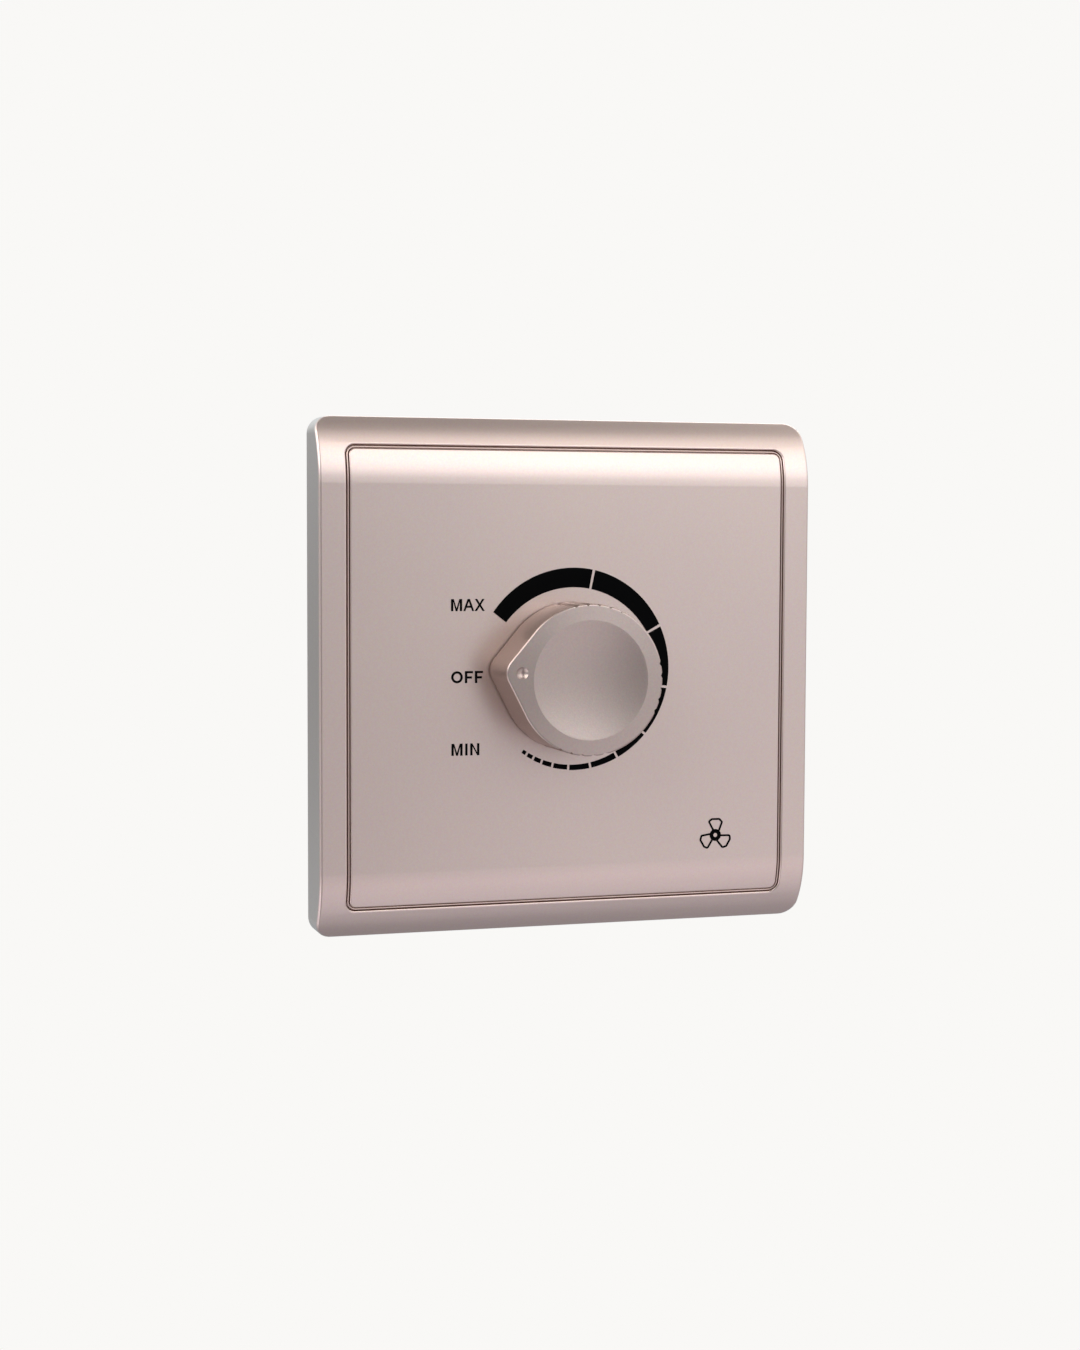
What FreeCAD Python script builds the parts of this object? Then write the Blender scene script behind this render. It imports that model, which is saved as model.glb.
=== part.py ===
"""Wall switch that sets the speed of a ceiling fan: bezel, panel, knob, potentiometer and regulator.

Millimetres. The wall is the plane y = 0 and the front faces -Y. X is right and Z is up, seen from
the front. The knob turns about the Y axis, which is also the middle of the two wall screws.
"""
import FreeCAD, Part
import math
import os
import re
from types import SimpleNamespace

import Sketcher

V = FreeCAD.Vector
doc = FreeCAD.newDocument("fan_speed_switch")

# Driving dimensions. A depth is a distance in front of the wall, a back is a distance behind it.
SIZES = {
    # how far a cut runs past what it cuts, and how near a point is to lie on a face
    "cut_over": 1.0,
    "near": 0.02,
    # bezel
    "plate_width": 86.0,
    "plate_height": 86.0,
    "plate_depth": 9.5,
    "rim_depth": 4.45,
    "face_curve": 14.5,
    "plate_corner": 2.8,
    "plate_edge": 0.5,
    "bezel_wall": 1.8,
    "bezel_side": 4.6,
    "bezel_top": 4.8,
    "ledge_depth": 5.6,
    "ledge_thickness": 1.6,
    "ledge_width": 1.75,
    "window_wall": 1.2,
    "window_edge": 0.3,
    # panel
    "panel_thickness": 2.0,
    "panel_corner": 1.1,
    "panel_edge": 0.2,
    "panel_gap": 0.6,
    "skirt_wall": 1.6,
    "leg_width": 8.0,
    "leg_thickness": 1.5,
    "leg_spread": 26.0,
    "leg_rise": 15.0,
    "hook_reach": 0.8,
    "hook_length": 1.0,
    "shaft_hole": 4.2,
    # printed scale and symbol
    "ink": 0.05,
    "scale_inner": 14.92,
    "scale_outer": 17.02,
    "scale_shift": 1.18,
    "scale_offset": 0.35,
    "dash_outer": 15.56,
    "scale_start": -125.5,
    "scale_gap": 1.5,
    "symbol_from_side": 11.6,
    "symbol_from_foot": 9.8,
    "symbol_hub": 1.03,
    "symbol_hub_hole": 0.36,
    "symbol_reach": 2.9,
    "symbol_stroke": 0.33,
    "symbol_round": 0.4,
    # knob
    "knob_gap": 0.6,
    "knob_radius": 12.5,
    "pointer_reach": 14.4,
    "pointer_tip": 3.0,
    "knob_side": 9.6,
    "dish_radius": 9.85,
    "dish_rim": 10.0,
    "dish_depth": 0.8,
    "knob_edge": 0.35,
    "dimple_radius": 1.0,
    "dimple_depth": 0.45,
    "dimple_place": 11.9,
    "flute_width": 1.1,
    "flute_depth": 0.35,
    "flute_pitch": 9.2,
    "flute_count": 5,
    "knob_wall": 1.5,
    "boss_radius": 5.0,
    "boss_recess": 0.9,
    "rib_thickness": 1.0,
    "rest_turn": 6.5,
    "clip_width": 1.2,
    "clip_thickness": 0.6,
    # potentiometer
    "shaft_radius": 3.0,
    "shaft_flat": 1.5,
    "shaft_flat_length": 7.5,
    "shaft_fit": 0.05,
    "fit": 0.1,
    "bush_radius": 4.0,
    "bush_length": 6.4,
    "bush_flange": 6.5,
    "bush_flange_thickness": 1.0,
    "washer_radius": 6.2,
    "washer_thickness": 0.6,
    "nut_flats": 11.0,
    "nut_thickness": 2.2,
    "case_radius": 8.5,
    "case_length": 7.0,
    "case_wall": 0.6,
    "wafer_thickness": 1.2,
    "wiper_gap": 0.7,
    "carrier_radius": 6.3,
    "carrier_thickness": 2.0,
    "contact_width": 1.6,
    "pin_width": 1.0,
    "pin_thickness": 0.5,
    "pin_pitch": 5.0,
    # switch behind the potentiometer
    "switch_width": 17.0,
    "switch_length": 6.0,
    "switch_wall": 1.2,
    "cam_radius": 4.2,
    "cam_thickness": 2.4,
    "cam_flat": 2.9,
    "blade_gap": 0.6,
    "blade_thickness": 0.4,
    "blade_width": 2.4,
    # yoke
    "yoke_clearance": 3.7,
    "yoke_corner": 3.0,
    "yoke_thickness": 2.6,
    "yoke_rim": 1.4,
    "yoke_rim_depth": 3.9,
    "wall_screw_spacing": 60.3,
    "wall_slot_radius": 2.1,
    "wall_slot_length": 7.0,
    "catch_depth": 1.3,
    # rear housing
    "housing_width": 51.0,
    "floor_gap": 1.0,
    "housing_wall": 1.8,
    "housing_corner": 3.0,
    "column_width": 7.0,
    "vent_width": 2.0,
    "vent_length": 14.0,
    "vent_pitch": 4.2,
    "vent_count": 4.0,
    "housing_screw_radius": 1.4,
    "housing_screw_head": 2.7,
    "housing_screw_head_height": 1.6,
    "housing_screw_length": 12.6,
    "cross_reach": 1.9,
    # regulator board
    "board_thickness": 1.6,
    "board_clearance": 0.3,
    "part_gap": 1.7,
    "part_spacing": 0.9,
    "rest_width": 3.0,
    "solder_stub": 1.2,
    "lead_radius": 0.35,
    "wire_radius": 0.3,
    "lead_reach": 1.5,
    "triac_width": 10.0,
    "triac_height": 9.0,
    "triac_thickness": 4.4,
    "triac_tab": 1.3,
    "triac_hole": 1.8,
    "triac_tab_length": 6.0,
    "triac_lead_pitch": 1.1,
    "triac_screw_radius": 1.5,
    "triac_screw_head": 2.75,
    "sink_gap": 1.7,
    "sink_width": 17.0,
    "sink_height": 11.0,
    "sink_thickness": 1.5,
    "sink_foot": 4.0,
    "suppressor_length": 18.0,
    "suppressor_width": 6.0,
    "suppressor_height": 10.5,
    "timing_length": 7.2,
    "timing_width": 3.6,
    "timing_height": 7.5,
    "choke_radius": 5.6,
    "choke_height": 8.6,
    "choke_cheek": 1.0,
    "choke_neck": 2.6,
    "winding_wall": 2.2,
    "fuse_radius": 1.8,
    "fuse_length": 9.0,
    "diac_radius": 0.95,
    "diac_length": 4.0,
    "resistor_radius": 1.2,
    "resistor_length": 6.4,
    # terminals
    "block_width": 21.0,
    "block_depth": 9.0,
    "block_length": 11.0,
    "block_wall": 1.6,
    "terminal_pitch": 9.4,
    "clamp_width": 6.4,
    "clamp_height": 7.6,
    "clamp_length": 6.4,
    "wire_bore": 1.5,
    "wire_entry": 1.9,
    "wire_back": 20.6,
    "terminal_screw_radius": 1.25,
    "terminal_screw_head": 2.6,
    "terminal_screw_head_height": 1.6,
    "screw_slot": 0.7,
    "driver_hole": 3.0,
}

# Lengths of the scale's pieces in degrees of turn, from MIN round to MAX.
SCALE_PIECES = (2.5, 3.6, 4.5, 6.0, 9.1, 12.9, 16.8, 20.9, 29.3, 34.3, 48.5, 62.8)
SCALE_DASHES = 6

sheet = doc.addObject("Spreadsheet::Sheet", "Sizes")
for row, (alias, number) in enumerate(SIZES.items(), start=1):
    sheet.set(f"A{row}", alias)
    sheet.set(f"B{row}", str(number))
    sheet.setAlias(f"B{row}", alias)
doc.recompute()
size = SimpleNamespace(**{alias: float(sheet.get(alias)) for alias in SIZES})

pieces = []


def formula(words):
    """The words as an expression, each name in the sheet with the sheet's own name before it."""
    return re.sub(r"[a-z]\w+", lambda name: f"Sizes.{name[0]}" if name[0] in SIZES else name[0], str(words))


def bind(thing, **formulas):
    for prop, words in formulas.items():
        thing.setExpression(prop.replace("__", "."), formula(words))
    return thing


def piece(name, thing):
    """Name a finished piece. Its label is the name of its file."""
    thing.Label = name
    pieces.append(thing)
    return thing


# Primitives. Every place is a formula in row coordinates.
def box(x0, x1, y0, y1, z0, z1):
    block = doc.addObject("Part::Box", "block")
    bind(block, Length=f"({x1}) - ({x0})", Width=f"({y1}) - ({y0})", Height=f"({z1}) - ({z0})")
    return bind(block, Placement__Base__x=x0, Placement__Base__y=y0, Placement__Base__z=z0)


TURNS = {
    "x": FreeCAD.Rotation(V(0, 1, 0), 90),
    "y": FreeCAD.Rotation(V(1, 0, 0), -90),
    "z": FreeCAD.Rotation(),
}


def rod(way, radius, start, end, first=0, second=0):
    """Cylinder along one axis. first and second are its place on the other two, in X, Y, Z order."""
    cylinder = doc.addObject("Part::Cylinder", "rod")
    cylinder.Placement = FreeCAD.Placement(V(), TURNS[way])
    bind(cylinder, Radius=radius, Height=f"({end}) - ({start})")
    spots = [first, second]
    spots.insert("xyz".index(way), start)
    x, y, z = spots
    return bind(cylinder, Placement__Base__x=x, Placement__Base__y=y, Placement__Base__z=z)


def join(*things):
    union = doc.addObject("Part::MultiFuse", "union")
    union.Shapes = list(things)
    union.Refine = True
    return union


def cut(base, *tools):
    difference = doc.addObject("Part::Cut", "difference")
    difference.Base = base
    difference.Tool = tools[0] if len(tools) == 1 else join(*tools)
    return difference


def group(*things):
    """Separate solids that share one file."""
    several = doc.addObject("Part::Compound", "group")
    several.Links = list(things)
    return several


def turned(thing):
    """Turn a piece with the knob, from pointing left to where the knob stands at rest."""
    thing.Placement = FreeCAD.Placement(V(), FreeCAD.Rotation(V(0, 1, 0), 1))
    return bind(thing, Placement__Rotation__Angle="rest_turn * 1deg")


# Bodies. A sketch on the XZ plane looks from the front, and its offset is a depth before the wall.
def new_body(name):
    body = doc.addObject("PartDesign::Body", name)
    return piece(name, body)


def sketch_on(body, role, offset=0):
    sketch = body.newObject("Sketcher::SketchObject", "sketch")
    plane = next(feature for feature in body.Origin.OriginFeatures if feature.Role == role)
    sketch.AttachmentSupport = (plane, [""])
    sketch.MapMode = "FlatFace"
    return bind(sketch, AttachmentOffset__Base__z=offset)


def hold(sketch, kind, *where, to):
    """Constrain a distance or a radius to a formula, starting from what it is as drawn."""
    if kind == "Radius":
        drawn = sketch.Geometry[where[0]].Radius
    else:
        drawn = getattr(sketch.getPoint(*where[2:]), kind[-1].lower())
    number = sketch.addConstraint(Sketcher.Constraint(kind, *where, drawn))
    sketch.setExpression(f"Constraints[{number}]", formula(to))


def hold_point(sketch, line, end, across, up):
    hold(sketch, "DistanceX", -1, 1, line, end, to=across)
    hold(sketch, "DistanceY", -1, 1, line, end, to=up)


def polygon(sketch, corners):
    """Closed outline of straight lines, each corner held to its pair of formulas."""
    count = len(corners)
    ring = [V(math.cos(math.tau * i / count), math.sin(math.tau * i / count), 0) for i in range(count)]
    first = sketch.GeometryCount
    sketch.addGeometry([Part.LineSegment(ring[i], ring[(i + 1) % count]) for i in range(count)], False)
    for i, (across, up) in enumerate(corners):
        sketch.addConstraint(Sketcher.Constraint("Coincident", first + i, 2, first + (i + 1) % count, 1))
        hold_point(sketch, first + i, 1, across, up)


def rectangle(sketch, left, right, low, high):
    polygon(sketch, [(left, low), (right, low), (right, high), (left, high)])


def rounded(sketch, width, height, corner):
    """Rectangle about the origin with round corners, its sides tangent to the arcs.

    It is drawn at any size first, and its constraints give it the real one.
    """
    half, round_off = 20.0, 2.0
    flat = half - round_off
    spots = [V(flat, -half), V(half, -flat), V(half, flat), V(flat, half),
             V(-flat, half), V(-half, flat), V(-half, -flat), V(-flat, -half)]
    first = sketch.GeometryCount
    for i in range(4):
        centre = V(flat if i in (0, 1) else -flat, flat if i in (1, 2) else -flat, 0)
        begin = math.radians(90 * (i - 1))
        circle = Part.Circle(centre, V(0, 0, 1), round_off)
        sketch.addGeometry(Part.ArcOfCircle(circle, begin, begin + math.pi / 2), False)
        sketch.addGeometry(Part.LineSegment(spots[2 * i + 1], spots[(2 * i + 2) % 8]), False)
    for i in range(4):
        arc, line, after = first + 2 * i, first + 2 * i + 1, first + (2 * i + 2) % 8
        sketch.addConstraint(Sketcher.Constraint("Tangent", arc, 2, line, 1))
        sketch.addConstraint(Sketcher.Constraint("Tangent", line, 2, after, 1))
        sketch.addConstraint(Sketcher.Constraint("Vertical" if i % 2 == 0 else "Horizontal", line))
        hold(sketch, "Radius", arc, to=corner)
    hold(sketch, "DistanceX", -1, 1, first + 1, 1, to=f"({width}) / 2")
    hold(sketch, "DistanceX", -1, 1, first + 5, 1, to=f"-({width}) / 2")
    hold(sketch, "DistanceY", -1, 1, first + 3, 1, to=f"({height}) / 2")
    hold(sketch, "DistanceY", -1, 1, first + 7, 1, to=f"-({height}) / 2")


def circle(sketch, radius, across=0, up=0):
    number = sketch.addGeometry(Part.Circle(V(), V(0, 0, 1), 1.0), False)
    hold_point(sketch, number, 3, across, up)
    hold(sketch, "Radius", number, to=radius)


def pad(body, sketch, length):
    feature = body.newObject("PartDesign::Pad", "pad")
    feature.Profile = sketch
    return bind(feature, Length=length)


def pocket(body, sketch, length, forwards=False):
    """Cut from the sketch towards the wall, or forwards, away from it."""
    feature = body.newObject("PartDesign::Pocket", "pocket")
    feature.Profile = sketch
    feature.Reversed = forwards
    return bind(feature, Length=length)


def smooth(body, base, radius, chosen, kind="Fillet"):
    """Round or bevel the edges of a feature for which chosen(edge) is true."""
    doc.recompute()
    names = [f"Edge{i}" for i, edge in enumerate(base.Shape.Edges, start=1) if chosen(edge)]
    feature = body.newObject(f"PartDesign::{kind}", kind.lower())
    feature.Base = (base, names)
    return bind(feature, **{"Radius" if kind == "Fillet" else "Size": radius})


def in_front_of(edge, depth):
    """Whether the whole edge is further from the wall than a depth."""
    return min(-vertex.Y for vertex in edge.Vertexes) > depth + size.near


def along_depth(edge):
    """Whether the edge is a straight line from the front to the rear."""
    spread = edge.BoundBox
    return spread.XLength < size.near and spread.ZLength < size.near < spread.YLength


FACE_FLAT = "(plate_height / 2 - sqrt(face_curve ^ 2 - (face_curve - plate_depth + rim_depth) ^ 2))"


def face_profile(sketch, back, reach):
    """Side view of the face: flat in the middle, rolled back at the top and the bottom.

    back is the depth of its rear and reach half its height.
    """
    flat = size.plate_height / 2 - math.sqrt(
        size.face_curve ** 2 - (size.face_curve - size.plate_depth + size.rim_depth) ** 2)
    front = -size.plate_depth
    end = size.plate_height / 2
    drop = size.face_curve - math.sqrt(size.face_curve ** 2 - (end - flat) ** 2)
    centre = front + size.face_curve
    lean = math.atan2(end - flat, size.face_curve - drop)
    spots = [V(0, -end), V(0, end), V(front + drop, end),
             V(front, flat), V(front, -flat), V(front + drop, -end)]
    sketch.addGeometry([
        Part.LineSegment(spots[0], spots[1]),
        Part.LineSegment(spots[1], spots[2]),
        Part.ArcOfCircle(Part.Circle(V(centre, flat), V(0, 0, 1), size.face_curve), math.pi - lean, math.pi),
        Part.LineSegment(spots[3], spots[4]),
        Part.ArcOfCircle(Part.Circle(V(centre, -flat), V(0, 0, 1), size.face_curve), math.pi, math.pi + lean),
        Part.LineSegment(spots[5], spots[0]),
    ], False)
    for one, two in (((0, 2), (1, 1)), ((1, 2), (2, 1)), ((2, 2), (3, 1)), ((3, 2), (4, 1)), ((4, 2), (5, 1)),
                     ((5, 2), (0, 1))):
        sketch.addConstraint(Sketcher.Constraint("Coincident", *one, *two))
    hold_point(sketch, 0, 1, f"-({back})", f"-({reach})")
    hold_point(sketch, 0, 2, f"-({back})", reach)
    for arc, side in ((2, ""), (4, "-")):
        hold_point(sketch, arc, 3, "face_curve - plate_depth", f"{side}{FACE_FLAT}")
        hold(sketch, "Radius", arc, to="face_curve")
    hold(sketch, "DistanceY", -1, 1, 3, 1, to=FACE_FLAT)
    hold(sketch, "DistanceY", -1, 1, 3, 2, to=f"-{FACE_FLAT}")
    hold(sketch, "DistanceY", -1, 1, 1, 2, to=reach)
    hold(sketch, "DistanceY", -1, 1, 5, 1, to=f"-({reach})")


# Bezel. The window holds the panel, which seats on the ledge behind it.
WINDOW_WIDTH = "(plate_width - 2 * bezel_side)"
WINDOW_HEIGHT = "(plate_height - 2 * bezel_top)"
PANEL_WIDTH = f"({WINDOW_WIDTH} - 2 * panel_gap)"
PANEL_HEIGHT = f"({WINDOW_HEIGHT} - 2 * panel_gap)"
window_half = (size.plate_width / 2 - size.bezel_side, size.plate_height / 2 - size.bezel_top)
LEDGE_BACK = "(ledge_depth - ledge_thickness)"


def build_outer_frame():
    frame = new_body("outer_frame")
    profile = sketch_on(frame, "YZ_Plane")
    face_profile(profile, back="0", reach="plate_height / 2")
    block = pad(frame, profile, "plate_width")
    block.SideType = "Symmetric"
    block = smooth(frame, block, "plate_corner", along_depth)
    block = smooth(frame, block, "plate_edge", lambda edge: in_front_of(edge, size.rim_depth - 2 * size.near)
                   and (abs(edge.CenterOfMass.x) > size.plate_width / 2 - size.plate_corner
                        or abs(edge.CenterOfMass.z) > size.plate_height / 2 - size.plate_corner))
    window = sketch_on(frame, "XZ_Plane", "ledge_depth")
    rounded(window, WINDOW_WIDTH, WINDOW_HEIGHT, "panel_corner + panel_gap")
    block = pocket(frame, window, "plate_depth", forwards=True)
    through = sketch_on(frame, "XZ_Plane", "ledge_depth")
    rounded(through, f"{WINDOW_WIDTH} - 2 * ledge_width", f"{WINDOW_HEIGHT} - 2 * ledge_width",
            "panel_corner")
    block = pocket(frame, through, "ledge_depth")
    hollow = sketch_on(frame, "XZ_Plane")
    rounded(hollow, "plate_width - 2 * bezel_wall", "plate_height - 2 * bezel_wall",
            "plate_corner - bezel_wall / 2")
    block = pocket(frame, hollow, LEDGE_BACK, forwards=True)
    for side in ("", "-"):
        channel = sketch_on(frame, "XZ_Plane")
        inner = f"{WINDOW_WIDTH} / 2 + window_wall"
        outer = "plate_width / 2 - bezel_wall"
        left, right = (inner, outer) if side == "" else (f"-({outer})", f"-({inner})")
        rectangle(channel, left, right, f"-{FACE_FLAT}", FACE_FLAT)
        block = pocket(frame, channel, "plate_depth - bezel_wall", forwards=True)
    block = smooth(frame, block, "window_edge", lambda edge: in_front_of(edge, size.ledge_depth)
                   and all(abs(vertex.X) < window_half[0] + size.near for vertex in edge.Vertexes)
                   and all(abs(vertex.Z) < window_half[1] + size.near for vertex in edge.Vertexes))
    frame.Tip = block


# Panel. Four hooked legs pass the yoke's windows and hold the panel and the bezel on.
def leg_sides():
    return [(side, rise) for side in ("", "-") for rise in ("leg_rise", "-leg_rise")]


def mirrored(side, inner, outer):
    """Two places on the right, or the same pair on the left in rising order."""
    return (inner, outer) if side == "" else (f"-({outer})", f"-({inner})")


def build_center_panel():
    panel = new_body("center_panel")
    profile = sketch_on(panel, "YZ_Plane")
    face_profile(profile, back="ledge_depth", reach=f"{PANEL_HEIGHT} / 2")
    block = pad(panel, profile, PANEL_WIDTH)
    block.SideType = "Symmetric"
    block = smooth(panel, block, "panel_corner", along_depth)
    block = smooth(panel, block, "panel_edge", lambda edge: in_front_of(edge, size.ledge_depth)
                   and (abs(edge.CenterOfMass.x) > window_half[0] - size.panel_gap - size.panel_corner
                        or abs(edge.CenterOfMass.z) > window_half[1] - size.panel_gap - size.panel_corner))
    hollow = sketch_on(panel, "XZ_Plane", "ledge_depth")
    rounded(hollow, f"{PANEL_WIDTH} - 2 * skirt_wall", f"{PANEL_HEIGHT} - 2 * skirt_wall", "panel_corner")
    block = pocket(panel, hollow, "plate_depth - panel_thickness - ledge_depth", forwards=True)
    for side, rise in leg_sides():
        inner, outer = mirrored(side, "leg_spread", "leg_spread + leg_thickness")
        low, high = f"{rise} - leg_width / 2", f"{rise} + leg_width / 2"
        leg = sketch_on(panel, "XZ_Plane", "catch_depth - fit - hook_length")
        rectangle(leg, inner, outer, low, high)
        block = pad(panel, leg, "plate_depth - panel_thickness / 2 - catch_depth + fit + hook_length")
        inner, outer = mirrored(side, "leg_spread", "leg_spread + leg_thickness + hook_reach")
        hook = sketch_on(panel, "XZ_Plane", "catch_depth - fit - hook_length")
        rectangle(hook, inner, outer, low, high)
        block = pad(panel, hook, "hook_length")
    hole = sketch_on(panel, "XZ_Plane", "ledge_depth")
    circle(hole, "shaft_hole")
    panel.Tip = pocket(panel, hole, "plate_depth", forwards=True)


# Print. Each piece of the scale has its inner edge on a circle, whose centre lies a little to the
# right of the knob's axis. Its outer edge lies on a circle whose centre is higher, so the scale is
# widest towards MAX.
def outer_edge(angle):
    rise = size.scale_shift * math.sin(angle)
    spread = size.scale_outer ** 2 - (size.scale_shift * math.cos(angle)) ** 2
    return rise + math.sqrt(spread)


def polar(radius, angle):
    across = size.scale_offset + radius * math.cos(angle)
    return V(across, -size.plate_depth, radius * math.sin(angle))


def printed(outline):
    """Ink of the sheet's thickness on the panel's face."""
    return Part.Face(outline).extrude(V(0, -size.ink, 0))


def build_scale():
    solids = []
    start = size.scale_start
    step = (outer_edge(math.radians(-90)) - size.dash_outer) / SCALE_DASHES
    for number, length in enumerate(SCALE_PIECES):
        ends = [math.radians(start), math.radians(start + length / 2), math.radians(start + length)]
        if number < SCALE_DASHES - 1:
            reach = [size.dash_outer + step * number] * 3
        else:
            reach = [outer_edge(angle) for angle in ends]
        inner = Part.Arc(*[polar(size.scale_inner, angle) for angle in ends]).toShape()
        outer = Part.Arc(*[polar(radius, angle) for radius, angle in zip(reach, ends)]).toShape()
        first = Part.makeLine(polar(size.scale_inner, ends[0]), polar(reach[0], ends[0]))
        last = Part.makeLine(polar(reach[2], ends[2]), polar(size.scale_inner, ends[2]))
        solids.append(printed(Part.Wire(Part.sortEdges([first, outer, last, inner])[0])))
        start += length + size.scale_gap
    scale = doc.addObject("Part::Feature", "speed_scale_print")
    scale.Shape = Part.makeCompound(solids)
    piece("speed_scale_print", scale)


# Corners of a fan blade as shares of its reach. The ink goes round them at a distance.
BLADE_CORNERS = ((-0.02, 0.26), (-0.31, 0.79), (-0.20, 0.87), (0.21, 0.87), (0.33, 0.75), (0.14, 0.26))


def build_fan_symbol():
    """Hub ring with three outlined blades, seen from the front."""
    towards = V(0, -size.ink, 0)
    reach = size.symbol_reach
    corners = [V(across * reach, 0, up * reach) for across, up in BLADE_CORNERS]
    core = Part.Face(Part.makePolygon(corners + corners[:1]))
    outside = core.makeOffset2D(size.symbol_round)
    blade = outside.cut(core.makeOffset2D(size.symbol_round - size.symbol_stroke))
    solids = []
    for turn in (0, 120, 240):
        copy = blade.extrude(towards)
        copy.rotate(V(), V(0, 1, 0), turn)
        solids.append(copy)
    hub = Part.makeCylinder(size.symbol_hub, size.ink, V(), towards)
    opening = Part.makeCylinder(size.symbol_hub_hole, size.ink, V(), towards)
    symbol = doc.addObject("Part::Feature", "fan_symbol_print")
    symbol.Shape = hub.fuse(solids).cut(opening).removeSplitter()
    right = window_half[0] - size.panel_gap - size.symbol_from_side
    down = window_half[1] - size.panel_gap - size.symbol_from_foot
    symbol.Placement = FreeCAD.Placement(V(right, -size.plate_depth, -down), FreeCAD.Rotation())
    piece("fan_symbol_print", symbol)


# Knob. It is modelled with its pointer to the left and turned to where it stands at rest.
KNOB_BASE = "(plate_depth + knob_gap)"


def knob_outline(sketch, inset="0"):
    """Round knob whose pointer is the tangent wedge between it and a small tip circle."""
    radius, tip, far = size.knob_radius, size.pointer_tip, size.pointer_reach - size.pointer_tip
    lean = math.acos((radius - tip) / far)
    upper = V(-math.cos(lean), math.sin(lean))
    lower = V(-math.cos(lean), -math.sin(lean))
    round_side = Part.ArcOfCircle(Part.Circle(V(), V(0, 0, 1), radius), lean - math.pi, math.pi - lean)
    tip_side = Part.ArcOfCircle(Part.Circle(V(-far, 0), V(0, 0, 1), tip), math.pi - lean, math.pi + lean)
    tip_centre = V(-far, 0)
    sketch.addGeometry([round_side, Part.LineSegment(upper * radius, tip_centre + upper * tip), tip_side,
                        Part.LineSegment(tip_centre + lower * tip, lower * radius)], False)
    for one, two in (((0, 2), (1, 1)), ((1, 2), (2, 1)), ((2, 2), (3, 1)), ((3, 2), (0, 1))):
        sketch.addConstraint(Sketcher.Constraint("Tangent", *one, *two))
    hold_point(sketch, 0, 3, "0", "0")
    hold_point(sketch, 2, 3, "pointer_tip - pointer_reach", "0")
    hold(sketch, "Radius", 0, to=f"knob_radius - ({inset})")
    hold(sketch, "Radius", 2, to=f"pointer_tip - ({inset})")


def hollow_out(body, place, surface, radius, deep, wide, edge):
    """Cut a shallow round hollow and level what is round it, about the Y axis through (place, 0).

    surface is the depth of the hollow's rim, radius and deep are its own size, and from the rim the
    cut falls in a straight line to the depth edge at the radius wide. Each is a pair: its formula
    and its number.
    """
    (rim, rim_now), (across, radius_now), (down, deep_now) = surface, radius, deep
    (far, far_now), (low, low_now) = wide, edge
    curve = (radius_now ** 2 + deep_now ** 2) / (2 * deep_now)
    clear_now = rim_now + size.cut_over
    sketch = sketch_on(body, "YZ_Plane", place)
    spots = [V(deep_now - rim_now, 0), V(-clear_now, 0), V(-clear_now, far_now), V(-low_now, far_now),
             V(-rim_now, radius_now)]
    sketch.addGeometry([Part.LineSegment(spots[i], spots[i + 1]) for i in range(4)], False)
    bowl = Part.Circle(V(deep_now - rim_now - curve, 0), V(0, 0, 1), curve)
    sketch.addGeometry(Part.ArcOfCircle(bowl, 0, math.asin(radius_now / curve)), False)
    meetings = (((0, 2), (1, 1)), ((1, 2), (2, 1)), ((2, 2), (3, 1)), ((3, 2), (4, 2)), ((4, 1), (0, 1)))
    for one, two in meetings:
        sketch.addConstraint(Sketcher.Constraint("Coincident", *one, *two))
    hold_point(sketch, 0, 1, f"{down} - {rim}", "0")
    hold_point(sketch, 0, 2, f"-({rim} + cut_over)", "0")
    hold_point(sketch, 1, 2, f"-({rim} + cut_over)", far)
    hold_point(sketch, 2, 2, f"-{low}", far)
    hold_point(sketch, 3, 2, f"-{rim}", across)
    hold(sketch, "Radius", 4, to=f"({across} ^ 2 + {down} ^ 2) / (2 * {down})")
    groove = body.newObject("PartDesign::Groove", "hollow")
    groove.Profile = sketch
    groove.ReferenceAxis = (sketch, ["H_Axis"])
    groove.Angle = 360.0
    return groove


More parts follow.
